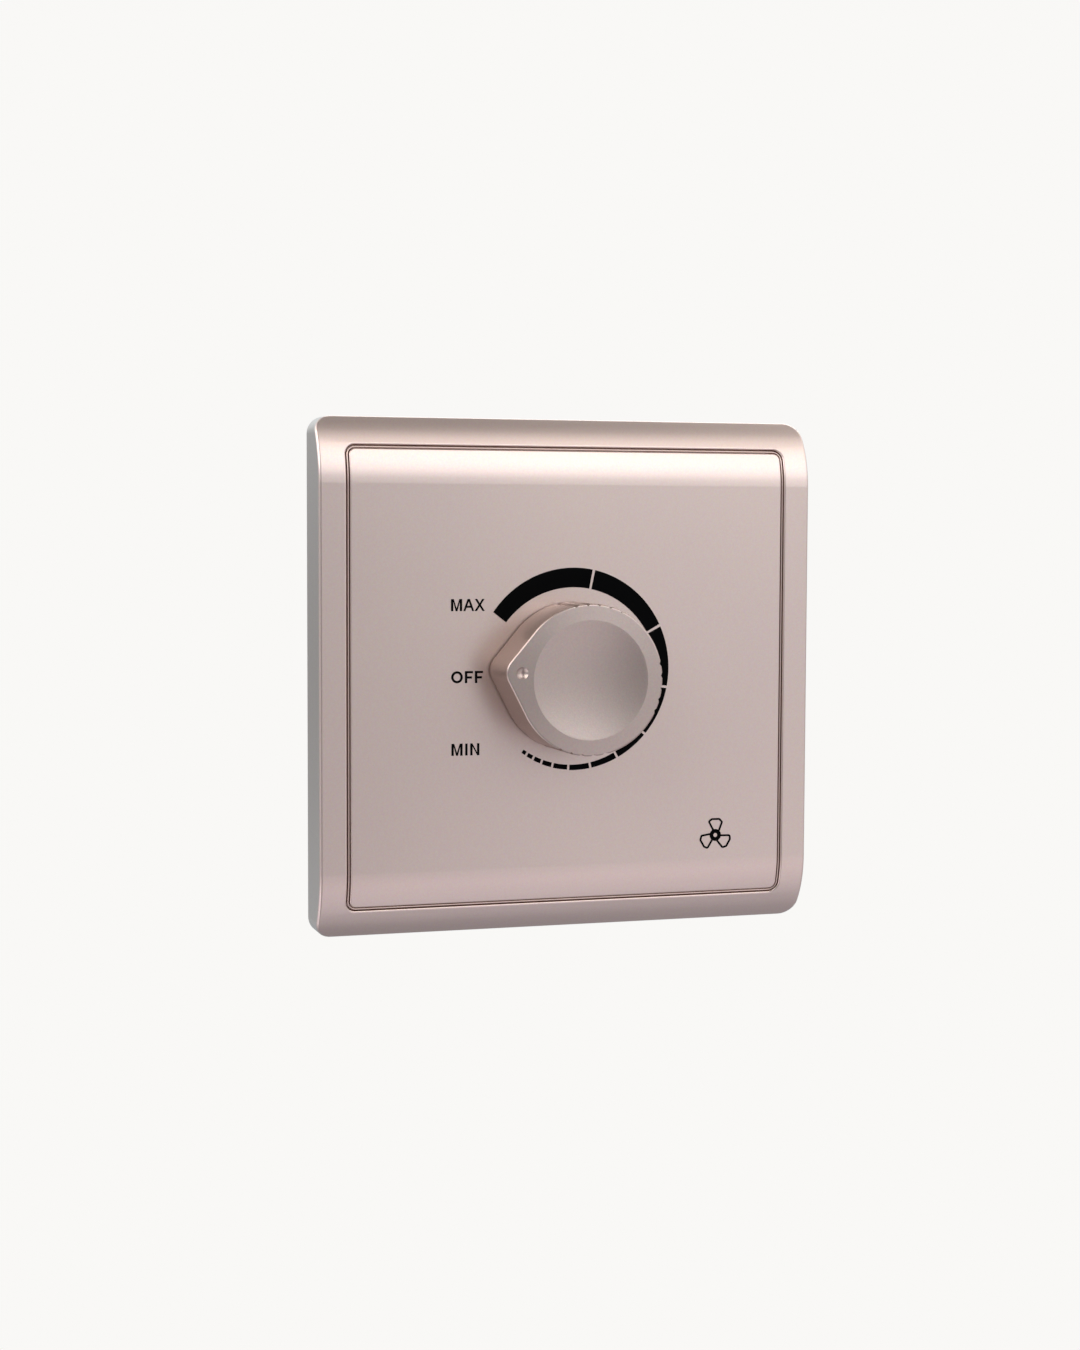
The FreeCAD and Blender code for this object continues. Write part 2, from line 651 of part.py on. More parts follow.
def build_knob():
    knob = new_body("knob")
    outline = sketch_on(knob, "XZ_Plane", KNOB_BASE)
    knob_outline(outline)
    pad(knob, outline, "dish_rim + cut_over / 2")
    # front: a shallow cone from the side up to the dish's rim, and the dish as a hollow arc
    base_now = size.plate_depth + size.knob_gap
    groove = hollow_out(
        knob, "0",
        surface=(f"({KNOB_BASE} + dish_rim)", base_now + size.dish_rim),
        radius=("dish_radius", size.dish_radius),
        deep=("dish_depth", size.dish_depth),
        wide=("(pointer_reach + cut_over)", size.pointer_reach + size.cut_over),
        edge=(f"({KNOB_BASE} + knob_side)", base_now + size.knob_side))
    beyond_dish = size.dish_radius + size.knob_edge
    smooth(knob, groove, "knob_edge", lambda edge: in_front_of(edge, base_now + size.knob_side / 2)
           and not along_depth(edge)
           and any(math.hypot(vertex.X, vertex.Z) > beyond_dish for vertex in edge.Vertexes))
    # the dimple that marks the pointer, in the cone's surface
    slope = "((dish_rim - knob_side) / (pointer_reach + cut_over - dish_radius))"
    slope_now = (size.dish_rim - size.knob_side) / (size.pointer_reach + size.cut_over - size.dish_radius)
    face = (f"({KNOB_BASE} + dish_rim - {slope} * (dimple_place - dish_radius))",
            base_now + size.dish_rim - slope_now * (size.dimple_place - size.dish_radius))
    hollow_out(knob, "-dimple_place", surface=face, radius=("dimple_radius", size.dimple_radius),
               deep=("dimple_depth", size.dimple_depth),
               wide=("(dimple_radius + dimple_depth)", size.dimple_radius + size.dimple_depth),
               edge=(f"({face[0]} + dimple_depth)", face[1] + size.dimple_depth))
    # grip: a group of flutes at each quarter turn from the pointer
    count = int(size.flute_count)
    half = "(flute_width / 2 / knob_radius * 1rad)"
    deep, clear = "(knob_radius - flute_depth)", "(knob_radius + cut_over)"
    for quarter in (90, 0, -90):
        flute = sketch_on(knob, "XZ_Plane", KNOB_BASE)
        start = f"(({quarter} + flute_pitch * {(count - 1) / 2}) * 1deg)"
        polygon(flute, [
            (f"{deep} * cos({start})", f"{deep} * sin({start})"),
            (f"knob_radius * cos({start} - {half})", f"knob_radius * sin({start} - {half})"),
            (f"{clear} * cos({start})", f"{clear} * sin({start})"),
            (f"knob_radius * cos({start} + {half})", f"knob_radius * sin({start} + {half})"),
        ])
        valley = pocket(knob, flute, "dish_rim + cut_over", forwards=True)
        doc.recompute()
        grip = knob.newObject("PartDesign::PolarPattern", "grip")
        grip.Originals = [valley]
        grip.Axis = (flute, ["N_Axis"])
        grip.Reversed = True
        grip.Occurrences = count
        bind(grip, Angle=f"flute_pitch * {count - 1}")
        knob.Tip = grip
    # inside: hollow shell, boss for the shaft and ribs
    inside = sketch_on(knob, "XZ_Plane", KNOB_BASE)
    knob_outline(inside, "knob_wall")
    room = "dish_rim - dish_depth - knob_wall"
    pocket(knob, inside, room, forwards=True)
    boss = sketch_on(knob, "XZ_Plane", f"{KNOB_BASE} + boss_recess")
    circle(boss, "boss_radius")
    pad(knob, boss, f"{room} - boss_recess + knob_wall / 2")
    long, thin = "(knob_radius - knob_wall / 2)", "(rib_thickness / 2)"
    for across, up in ((long, thin), (thin, long)):
        rib = sketch_on(knob, "XZ_Plane", f"{KNOB_BASE} + boss_recess + clip_width * 2")
        rectangle(rib, f"-{across}", across, f"-{up}", up)
        pad(knob, rib, f"{room} - boss_recess - clip_width * 2 + knob_wall / 2")
    # seat of the spring clip round the boss, and the bore with its flat
    seat = sketch_on(knob, "XZ_Plane", f"{KNOB_BASE} + boss_recess + clip_width / 2")
    circle(seat, "boss_radius + cut_over")
    circle(seat, "boss_radius - clip_thickness")
    pocket(knob, seat, "clip_width + 2 * fit", forwards=True)
    bore = sketch_on(knob, "XZ_Plane", KNOB_BASE)
    bore_outline(bore)
    knob.Tip = pocket(knob, bore, f"{room} - 2 * fit", forwards=True)
    turned(knob)


def bore_outline(sketch):
    """Round bore with one flat, a fit larger than the shaft."""
    radius, flat = size.shaft_radius + size.shaft_fit, size.shaft_flat + size.shaft_fit
    lean = math.acos(flat / radius)
    upper, lower = V(flat, radius * math.sin(lean)), V(flat, -radius * math.sin(lean))
    sketch.addGeometry([
        Part.ArcOfCircle(Part.Circle(V(), V(0, 0, 1), radius), lean, math.tau - lean),
        Part.LineSegment(lower, upper),
    ], False)
    sketch.addConstraint(Sketcher.Constraint("Coincident", 0, 1, 1, 2))
    sketch.addConstraint(Sketcher.Constraint("Coincident", 0, 2, 1, 1))
    hold_point(sketch, 0, 3, "0", "0")
    hold(sketch, "Radius", 0, to="shaft_radius + shaft_fit")
    hold(sketch, "DistanceX", -1, 1, 1, 1, to="shaft_flat + shaft_fit")
    hold(sketch, "DistanceX", -1, 1, 1, 2, to="shaft_flat + shaft_fit")


def build_knob_clip():
    """C-shaped spring in the seat round the knob's boss, open towards the pointer."""
    back = f"-({KNOB_BASE} + boss_recess + clip_width / 2 + fit)"
    front = f"{back} - clip_width"
    ring = cut(rod("y", "boss_radius", front, back),
               rod("y", "boss_radius - clip_thickness + shaft_fit", front, back))
    mouth = box("-boss_radius - cut_over", "0", front, back, "-boss_radius / 3", "boss_radius / 3")
    piece("knob_clip", turned(cut(ring, mouth)))


# Potentiometer. Its bush passes the yoke and is held by the washer and nut in front.
BORE_END = f"({KNOB_BASE} + dish_rim - dish_depth - knob_wall - 2 * fit)"
SHAFT_HOLE = "(shaft_radius + shaft_fit)"
SPINDLE = "(shaft_radius / 2)"
CASE_BACK = "(bush_flange_thickness + case_length)"
SWITCH_BACK = f"({CASE_BACK} + switch_length)"
WAFER_FRONT = "(bush_flange_thickness + case_wall)"
WAFER_BACK = f"({WAFER_FRONT} + wafer_thickness)"
CARRIER_FRONT = f"({WAFER_BACK} + wiper_gap)"
CARRIER_BACK = f"({CARRIER_FRONT} + carrier_thickness)"
SPINDLE_END = f"({SWITCH_BACK} - switch_wall - shaft_fit)"
BOARD_FRONT = SWITCH_BACK
BOARD_BACK = f"({BOARD_FRONT} + board_thickness)"
TONGUE_WIDTH = "(2 * pin_pitch + 2 * pin_width)"
TONGUE_LOW = "(case_radius + pin_width)"
board_holes = []


def tube(outer, inner, start, end):
    """Ring about the knob's axis."""
    return cut(rod("y", outer, start, end), rod("y", inner, start, end))


def build_shaft():
    front = f"-({BORE_END} - 2 * fit)"
    shaft = join(rod("y", "shaft_radius", front, CARRIER_BACK), rod("y", SPINDLE, front, SPINDLE_END))
    side = box("shaft_flat", "shaft_radius + cut_over",
               f"{front} - cut_over", f"{front} + shaft_flat_length",
               "-shaft_radius", "shaft_radius")
    piece("potentiometer_shaft", turned(cut(shaft, side)))


def build_bush():
    body = join(rod("y", "bush_radius", "-bush_length", WAFER_FRONT),
                rod("y", "bush_flange", "0", "bush_flange_thickness"))
    piece("potentiometer_bush", cut(body, rod("y", SHAFT_HOLE, "-bush_length", WAFER_FRONT)))


def build_washer():
    front = "-(yoke_thickness + washer_thickness)"
    piece("potentiometer_washer", tube("washer_radius", "bush_radius + fit", front, "-yoke_thickness"))


def build_nut():
    back = "-(yoke_thickness + washer_thickness)"
    hexagon = doc.addObject("Part::Prism", "hexagon")
    hexagon.Polygon = 6
    hexagon.Placement = FreeCAD.Placement(V(), TURNS["y"])
    bind(hexagon, Circumradius="nut_flats / 2 / cos(30)", Height="nut_thickness",
         Placement__Base__y=f"{back} - nut_thickness")
    bore = rod("y", "bush_radius + shaft_fit", f"{back} - nut_thickness", back)
    piece("potentiometer_nut", cut(hexagon, bore))


def build_case():
    can = cut(rod("y", "case_radius", "bush_flange_thickness", CASE_BACK),
              rod("y", "case_radius - case_wall", WAFER_FRONT, CASE_BACK),
              rod("y", "bush_radius + shaft_fit", "bush_flange_thickness", WAFER_FRONT))
    notch = box(f"-{TONGUE_WIDTH} / 2 - fit", f"{TONGUE_WIDTH} / 2 + fit", WAFER_FRONT,
                f"{WAFER_BACK} + pin_thickness + fit", f"-{TONGUE_LOW} - cut_over", "-case_radius / 2")
    piece("potentiometer_case", cut(can, notch))


def build_wafer():
    disc = rod("y", "case_radius - case_wall - fit", WAFER_FRONT, WAFER_BACK)
    tongue = box(f"-{TONGUE_WIDTH} / 2", f"{TONGUE_WIDTH} / 2", WAFER_FRONT, WAFER_BACK,
                 f"-{TONGUE_LOW}", "-case_radius / 2")
    piece("resistance_wafer", cut(join(disc, tongue), rod("y", "bush_radius + fit", WAFER_FRONT, WAFER_BACK)))


def build_wiper():
    carrier = tube("carrier_radius", SHAFT_HOLE, CARRIER_FRONT, CARRIER_BACK)
    piece("wiper_carrier", carrier)
    low, high = "shaft_radius + fit", "carrier_radius - fit"
    half = "contact_width / 2"
    blade = box(f"-{half}", half, f"{CARRIER_FRONT} - wiper_gap / 2", CARRIER_FRONT, low, high)
    tip = box(f"-{half}", half, f"{WAFER_BACK} + shaft_fit", CARRIER_FRONT,
              f"{high} - contact_width / 2", high)
    piece("wiper_contact", join(blade, tip))


def build_potentiometer_pins():
    """Three strips from the wafer's tongue, bent back to the board."""
    strips = []
    for place in ("-pin_pitch", "0", "pin_pitch"):
        left, right = f"{place} - pin_width / 2", f"{place} + pin_width / 2"
        flat = box(left, right, WAFER_BACK, f"{WAFER_BACK} + pin_thickness", f"-{TONGUE_LOW} - pin_thickness",
                   "-(carrier_radius + pin_thickness)")
        back = box(left, right, WAFER_BACK, f"{BOARD_BACK} + solder_stub", f"-{TONGUE_LOW} - pin_thickness",
                   f"-{TONGUE_LOW}")
        strips.append(join(flat, back))
        board_holes.append(("pin_width / 2 + fit", place, f"-{TONGUE_LOW} - pin_thickness / 2"))
    piece("potentiometer_pins", group(*strips))


# Switch that the last degrees of turn open. It sits behind the potentiometer, against the board.
def build_switch():
    half, inner = "switch_width / 2", "(switch_width / 2 - switch_wall)"
    shell = box(f"-{half}", half, CASE_BACK, SWITCH_BACK, f"-{half}", half)
    room = box(f"-{inner}", inner, f"{CASE_BACK} + switch_wall", SWITCH_BACK, f"-{inner}", inner)
    piece("switch_case", cut(shell, room, rod("y", f"{SPINDLE} + fit", CASE_BACK, SWITCH_BACK)))
    front = f"{CASE_BACK} + switch_wall + 2 * fit"
    back = f"{front} + cam_thickness"
    disc = tube("cam_radius", f"{SPINDLE} + shaft_fit", front, back)
    land = box("cam_flat", "cam_radius", front, back, "-cam_radius", "cam_radius")
    piece("switch_cam", cut(disc, land))
    near_side, far_side = "cam_radius + blade_gap", "cam_radius + blade_gap + blade_thickness"
    blade = box(near_side, far_side, front, f"{front} + blade_width", f"-{inner}", inner)
    piece("switch_contact", blade)
    pins = []
    for side in ("", "-"):
        low, high = mirrored(side, f"{inner} - 2 * pin_width", f"{inner} - pin_width")
        pins.append(box(far_side, f"{far_side} + pin_thickness", front, f"{BOARD_BACK} + solder_stub",
                        low, high))
        board_holes.append(("pin_width / 2 + fit", f"{far_side} + pin_thickness / 2",
                            f"{side}({inner} - 1.5 * pin_width)"))
    piece("switch_pins", group(*pins))


# Regulator board. The parts stand on its rear side and their leads end flush with its front.
def lead(start, x, z):
    board_holes.append(("lead_radius + fit", x, z))
    return rod("y", "lead_radius", BOARD_FRONT, start, x, z)


def axial(radius, length, x, z, way="x"):
    """Component lying on the board, with a lead bent down at each end."""
    height = f"({BOARD_BACK} + {radius} + fit)"
    middle, other = (x, z) if way == "x" else (z, x)
    ends = [f"({middle} - {length} / 2)", f"({middle} + {length} / 2)"]
    feet = [f"({middle} - {length} / 2 - lead_reach)", f"({middle} + {length} / 2 + lead_reach)"]
    places = (height, other) if way == "x" else (other, height)
    body = rod(way, radius, *ends, *places)
    wire = rod(way, "wire_radius", *feet, *places)
    spots = [(foot, other) if way == "x" else (other, foot) for foot in feet]
    legs = [lead(f"{height} + lead_radius", *spot) for spot in spots]
    return join(body, wire, *legs)


def block_part(wide, deep, tall, x, z, leads):
    """Boxed component standing on the board."""
    low, high = (f"{x} - {wide} / 2", f"{x} + {wide} / 2")
    body = box(low, high, BOARD_BACK, f"{BOARD_BACK} + {tall}", f"{z} - {deep} / 2", f"{z} + {deep} / 2")
    return join(body, *[lead(BOARD_BACK, across, up) for across, up in leads])


SINK_FACE = "(-housing_width / 2 + housing_wall + sink_gap + sink_thickness)"
TRIAC_LOW = f"({BOARD_BACK} + sink_thickness + fit)"
TRIAC_END = "(-sink_width / 2 + sink_thickness)"
TRIAC_SCREW_UP = f"({TRIAC_END} + triac_height + triac_tab_length / 2)"
TRIAC_MIDDLE = f"({TRIAC_LOW} + triac_width / 2)"


def build_triac():
    """Flat package bolted to the sink, its three leads bent to the board one behind the other."""
    top = f"{TRIAC_LOW} + triac_width"
    package = box(SINK_FACE, f"{SINK_FACE} + triac_thickness", TRIAC_LOW, top, TRIAC_END,
                  f"{TRIAC_END} + triac_height")
    tab = box(SINK_FACE, f"{SINK_FACE} + triac_tab", TRIAC_LOW, top, TRIAC_END,
              f"{TRIAC_END} + triac_height + triac_tab_length")
    across = f"({SINK_FACE} + triac_thickness / 2)"
    leads = []
    for number in range(3):
        height = f"({TRIAC_LOW} + triac_width * {number + 1} / 4)"
        foot = f"({TRIAC_END} - sink_thickness - triac_lead_pitch * {number + 1})"
        leads.append(rod("z", "wire_radius", foot, TRIAC_END, across, height))
        leads.append(lead(f"{height} + lead_radius", across, foot))
    hole = rod("x", "triac_hole", SINK_FACE, f"{SINK_FACE} + triac_tab", TRIAC_MIDDLE, TRIAC_SCREW_UP)
    piece("triac", cut(join(package, tab, *leads), hole))


def build_heat_sink():
    half = "sink_width / 2"
    plate = box(f"{SINK_FACE} - sink_thickness", SINK_FACE, BOARD_BACK, f"{BOARD_BACK} + sink_height",
                f"-{half}", half)
    foot = box(f"{SINK_FACE} - sink_thickness", f"{SINK_FACE} + sink_foot", BOARD_BACK,
               f"{BOARD_BACK} + sink_thickness", f"-{half}", half)
    hole = rod("x", "triac_screw_radius + shaft_fit", f"{SINK_FACE} - sink_thickness", SINK_FACE,
               TRIAC_MIDDLE, TRIAC_SCREW_UP)
    piece("heat_sink", cut(join(plate, foot), hole))


def build_triac_screw():
    seat = f"({SINK_FACE} + triac_tab)"
    head_end = f"({seat} + triac_screw_radius)"
    screw = join(rod("x", "triac_screw_radius", f"{SINK_FACE} - sink_thickness - screw_slot", head_end,
                     TRIAC_MIDDLE, TRIAC_SCREW_UP),
                 rod("x", "triac_screw_head", seat, head_end, TRIAC_MIDDLE, TRIAC_SCREW_UP))
    slot = box(f"{head_end} - screw_slot", head_end, f"{TRIAC_MIDDLE} - triac_screw_head",
               f"{TRIAC_MIDDLE} + triac_screw_head", f"{TRIAC_SCREW_UP} - screw_slot / 2",
               f"{TRIAC_SCREW_UP} + screw_slot / 2")
    piece("triac_screw", cut(screw, slot))


def build_capacitors():
    x = "(housing_width / 2 - housing_wall - sink_gap - suppressor_width / 2)"
    ends = [(x, f"{side}(suppressor_length / 2 - lead_reach)") for side in ("", "-")]
    piece("suppression_capacitor", block_part("suppressor_width", "suppressor_length", "suppressor_height",
                                              x, "0", ends))
    x, z = "(-timing_length)", "(housing_width / 2 - housing_wall - part_gap - timing_width / 2)"
    ends = [(f"({x} {sign} (timing_length / 2 - lead_reach))", z) for sign in "+-"]
    piece("timing_capacitor", block_part("timing_length", "timing_width", "timing_height", x, z, ends))


def build_choke():
    x, z = "(choke_radius + part_spacing)", "(housing_width / 2 - housing_wall - part_gap - choke_radius)"
    bottom, top = f"({BOARD_BACK} + choke_cheek)", f"({BOARD_BACK} + choke_height - choke_cheek)"
    spool = join(rod("y", "choke_radius", BOARD_BACK, bottom, x, z),
                 rod("y", "choke_neck", bottom, top, x, z),
                 rod("y", "choke_radius", top, f"{BOARD_BACK} + choke_height", x, z))
    inner = "(choke_neck + shaft_fit)"
    reach = f"({inner} + winding_wall / 2)"
    spots = [(f"({x} {sign} {reach})", z) for sign in "+-"]
    notches = [rod("y", "lead_radius + fit", BOARD_BACK, bottom, *spot) for spot in spots]
    piece("choke_core", cut(spool, *notches))
    coil = cut(rod("y", f"{inner} + winding_wall", f"{bottom} + shaft_fit", f"{top} - shaft_fit", x, z),
               rod("y", inner, f"{bottom} + shaft_fit", f"{top} - shaft_fit", x, z))
    piece("choke_winding", join(coil, *[lead(f"{bottom} + winding_wall", *spot) for spot in spots]))


def build_small_parts():
    row = "(pin_pitch / 2)"
    left = "(-pin_pitch)"
    piece("fuse", axial("fuse_radius", "fuse_length", left, "(switch_width / 2)"))
    piece("diac", axial("diac_radius", "diac_length", left, row))
    resistors = [axial("resistor_radius", "resistor_length", left, f"(-{row})"),
                 axial("resistor_radius", "resistor_length", "(switch_width / 2 + pin_width)", "0", way="z")]
    piece("resistors", group(*resistors))


# Terminals. A wire enters each clamp from below and its screw is turned from behind.
BLOCK_LOW = "(-housing_width / 2 + housing_wall + fit)"
CLAMP_LOW = f"({BLOCK_LOW} + block_wall + fit)"
CLAMP_FRONT = f"({BOARD_BACK} + block_wall)"
CLAMP_BACK = f"({CLAMP_FRONT} + clamp_height)"
SCREW_UP = f"({CLAMP_LOW} + clamp_length / 2)"
TERMINALS = ("-terminal_pitch / 2", "terminal_pitch / 2")


def build_terminal_block():
    half = "block_width / 2"
    block = box(f"-{half}", half, BOARD_BACK, f"{BOARD_BACK} + block_length", BLOCK_LOW,
                f"{BLOCK_LOW} + block_depth")
    cuts = []
    for x in TERMINALS:
        side = "(clamp_width / 2 + fit)"
        cuts.append(box(f"{x} - {side}", f"{x} + {side}", f"{CLAMP_FRONT} - fit",
                        f"{BOARD_BACK} + block_length", f"{CLAMP_LOW} - fit",
                        f"{CLAMP_LOW} + clamp_length + fit"))
        cuts.append(rod("z", "wire_entry", BLOCK_LOW, CLAMP_LOW, x, "wire_back"))
        cuts.append(rod("y", "pin_width / 2 + fit", BOARD_BACK, CLAMP_FRONT, x, SCREW_UP))
    piece("terminal_block", cut(block, *cuts))


def build_terminal_clamps():
    clamps = []
    for x in TERMINALS:
        body = box(f"{x} - clamp_width / 2", f"{x} + clamp_width / 2", CLAMP_FRONT, CLAMP_BACK,
                   CLAMP_LOW, f"{CLAMP_LOW} + clamp_length")
        tail = rod("y", "pin_width / 2", BOARD_FRONT, CLAMP_FRONT, x, SCREW_UP)
        board_holes.append(("pin_width / 2 + fit", x, SCREW_UP))
        wire = rod("z", "wire_bore", CLAMP_LOW, f"{CLAMP_LOW} + clamp_length", x, "wire_back")
        thread = rod("y", "terminal_screw_radius + shaft_fit", "wire_back", CLAMP_BACK, x, SCREW_UP)
        clamps.append(cut(join(body, tail), wire, thread))
    piece("terminal_clamps", group(*clamps))


def build_terminal_screws():
    screws = []
    seat = f"({CLAMP_BACK} + 3 * fit)"
    top = f"({seat} + terminal_screw_head_height)"
    for x in TERMINALS:
        shank = rod("y", "terminal_screw_radius", "wire_back + wire_bore + fit", top, x, SCREW_UP)
        head = rod("y", "terminal_screw_head", seat, top, x, SCREW_UP)
        slot = box(f"{x} - terminal_screw_head", f"{x} + terminal_screw_head", f"{top} - screw_slot", top,
                   f"{SCREW_UP} - screw_slot / 2", f"{SCREW_UP} + screw_slot / 2")
        screws.append(cut(join(shank, head), slot))
    piece("terminal_screws", group(*screws))


# Housing and yoke, held together by four screws whose heads lie in the yoke's front.
COLUMN = "(housing_width / 2 - housing_wall - column_width / 2)"
CORNERS = [(x, z) for x in (COLUMN, f"-{COLUMN}") for z in (COLUMN, f"-{COLUMN}")]
HOUSING_FLOOR = f"({BOARD_BACK} + max(sink_height; block_length; suppressor_height) + floor_gap)"
HOUSING_BACK = f"({HOUSING_FLOOR} + housing_wall)"
SCREW_END = "(housing_screw_length - yoke_thickness)"
YOKE_WIDTH = "(plate_width - 2 * bezel_wall - 2 * yoke_clearance)"
YOKE_HEIGHT = "(plate_height - 2 * bezel_wall - 2 * yoke_clearance)"


def build_circuit_board():
    half = "(housing_width / 2 - housing_wall - board_clearance)"
    board = box(f"-{half}", half, BOARD_FRONT, BOARD_BACK, f"-{half}", half)
    cuts = [rod("y", radius, BOARD_FRONT, BOARD_BACK, x, z) for radius, x, z in board_holes]
    side = "(column_width / 2 + board_clearance)"
    for x, z in CORNERS:
        cuts.append(box(f"{x} - {side}", f"{x} + {side}", BOARD_FRONT, BOARD_BACK,
                        f"{z} - {side}", f"{z} + {side}"))
    piece("circuit_board", cut(board, *cuts))


def build_rear_housing():
    housing = new_body("rear_housing")
    outline = sketch_on(housing, "XZ_Plane", f"-{HOUSING_BACK}")
    rounded(outline, "housing_width", "housing_width", "housing_corner")
    pad(housing, outline, HOUSING_BACK)
    room = sketch_on(housing, "XZ_Plane")
    rounded(room, "housing_width - 2 * housing_wall", "housing_width - 2 * housing_wall",
            "housing_corner - housing_wall / 2")
    pocket(housing, room, HOUSING_FLOOR)
    reach = "column_width / 2"
    for x, z in CORNERS:
        column = sketch_on(housing, "XZ_Plane", f"-{HOUSING_FLOOR} - housing_wall / 2")
        rectangle(column, f"{x} - {reach}", f"{x} + {reach}", f"{z} - {reach}", f"{z} + {reach}")
        pad(housing, column, f"{HOUSING_FLOOR} + housing_wall / 2")
        hole = sketch_on(housing, "XZ_Plane")
        circle(hole, "housing_screw_radius + shaft_fit", x, z)
        pocket(housing, hole, f"{SCREW_END} + cut_over")
    for side in ("", "-"):
        for rise in ("", "-"):
            left, right = mirrored(side, "housing_width / 2 - housing_wall - rest_width",
                                   "housing_width / 2 - housing_wall / 2")
            low, high = mirrored(rise, "vent_length / 2 + rest_width", "vent_length / 2 + 2 * rest_width")
            rest = sketch_on(housing, "XZ_Plane", f"-{HOUSING_FLOOR} - housing_wall / 2")
            rectangle(rest, left, right, low, high)
            pad(housing, rest, f"{HOUSING_FLOOR} + housing_wall / 2 - {BOARD_BACK}")
    window = sketch_on(housing, "XZ_Plane", f"-({BOARD_BACK} + block_wall)")
    rectangle(window, "-block_width / 2 + block_wall", "block_width / 2 - block_wall",
              "-housing_width / 2 - cut_over", "-housing_width / 2 + housing_wall")
    pocket(housing, window, "block_length - 2 * block_wall")
    for x in TERMINALS:
        hole = sketch_on(housing, "XZ_Plane", f"-{HOUSING_FLOOR} + cut_over")
        circle(hole, "driver_hole", x, SCREW_UP)
        pocket(housing, hole, "housing_wall + 2 * cut_over")
    slot = sketch_on(housing, "YZ_Plane")
    rectangle(slot, "vent_pitch", "vent_pitch + vent_width", "-vent_length / 2", "vent_length / 2")
    vent = pocket(housing, slot, "housing_width + 2 * cut_over")
    vent.SideType = "Symmetric"
    doc.recompute()
    vents = housing.newObject("PartDesign::LinearPattern", "vents")
    vents.Originals = [vent]
    vents.Direction = (slot, ["H_Axis"])
    vents.Occurrences = int(size.vent_count)
    bind(vents, Length="vent_pitch * (vent_count - 1)")
    housing.Tip = vents


def build_housing_screws():
    screws = []
    under = "-(yoke_thickness - housing_screw_head_height)"
    for x, z in CORNERS:
        head = rod("y", "housing_screw_head", "-yoke_thickness", under, x, z)
        shank = rod("y", "housing_screw_radius", "-yoke_thickness", SCREW_END, x, z)
        slots = [box(f"{x} - {wide}", f"{x} + {wide}", "-yoke_thickness", "-yoke_thickness + screw_slot",
                     f"{z} - {tall}", f"{z} + {tall}")
                 for wide, tall in (("cross_reach", "screw_slot / 2"), ("screw_slot / 2", "cross_reach"))]
        screws.append(cut(join(head, shank), *slots))
    piece("housing_screws", group(*screws))


def build_mounting_frame():
    yoke = new_body("mounting_frame")
    outline = sketch_on(yoke, "XZ_Plane")
    rounded(outline, YOKE_WIDTH, YOKE_HEIGHT, "yoke_corner")
    pad(yoke, outline, "yoke_rim_depth")
    tray = sketch_on(yoke, "XZ_Plane", "yoke_rim_depth")
    rounded(tray, f"{YOKE_WIDTH} - 2 * yoke_rim", f"{YOKE_HEIGHT} - 2 * yoke_rim",
            "yoke_corner - yoke_rim / 2")
    pocket(yoke, tray, "yoke_rim_depth - yoke_thickness")
    hole = sketch_on(yoke, "XZ_Plane", "yoke_thickness")
    circle(hole, "bush_radius + shaft_fit")
    pocket(yoke, hole, "yoke_thickness + cut_over")
    for x, z in CORNERS:
        for radius, deep in (("housing_screw_head + fit", "housing_screw_head_height"),
                             ("housing_screw_radius + fit", "yoke_thickness + cut_over")):
            hole = sketch_on(yoke, "XZ_Plane", "yoke_thickness")
            circle(hole, radius, x, z)
            pocket(yoke, hole, deep)
    for side, sign in (("", 1), ("-", -1)):
        slot = sketch_on(yoke, "XZ_Plane", "yoke_thickness")
        slot_outline(slot, f"{side}wall_screw_spacing / 2", sign * size.wall_screw_spacing / 2)
        pocket(yoke, slot, "yoke_thickness + cut_over")
    for side, rise in leg_sides():
        low, high = f"{rise} - leg_width / 2 - 2 * fit", f"{rise} + leg_width / 2 + 2 * fit"
        left, right = mirrored(side, "leg_spread - fit", "leg_spread + leg_thickness + fit")
        front = sketch_on(yoke, "XZ_Plane", "yoke_thickness")
        rectangle(front, left, right, low, high)
        pocket(yoke, front, "yoke_thickness + cut_over")
        left, right = mirrored(side, "leg_spread - fit", "leg_spread + leg_thickness + hook_reach + 2 * fit")
        catch = sketch_on(yoke, "XZ_Plane", "catch_depth")
        rectangle(catch, left, right, low, high)
        yoke.Tip = pocket(yoke, catch, "catch_depth + cut_over")


def slot_outline(sketch, middle, middle_now):
    """Slot along X for one wall screw."""
    radius = size.wall_slot_radius
    right = middle_now + size.wall_slot_length / 2 - radius
    left = middle_now - size.wall_slot_length / 2 + radius
    sketch.addGeometry([
        Part.ArcOfCircle(Part.Circle(V(right, 0), V(0, 0, 1), radius), -math.pi / 2, math.pi / 2),
        Part.LineSegment(V(right, radius), V(left, radius)),
        Part.ArcOfCircle(Part.Circle(V(left, 0), V(0, 0, 1), radius), math.pi / 2, 3 * math.pi / 2),
        Part.LineSegment(V(left, -radius), V(right, -radius)),
    ], False)
    for one, two in (((0, 2), (1, 1)), ((1, 2), (2, 1)), ((2, 2), (3, 1)), ((3, 2), (0, 1))):
        sketch.addConstraint(Sketcher.Constraint("Tangent", *one, *two))
    hold_point(sketch, 0, 3, f"{middle} + wall_slot_length / 2 - wall_slot_radius", "0")
    hold_point(sketch, 2, 3, f"{middle} - wall_slot_length / 2 + wall_slot_radius", "0")
    hold(sketch, "Radius", 0, to="wall_slot_radius")


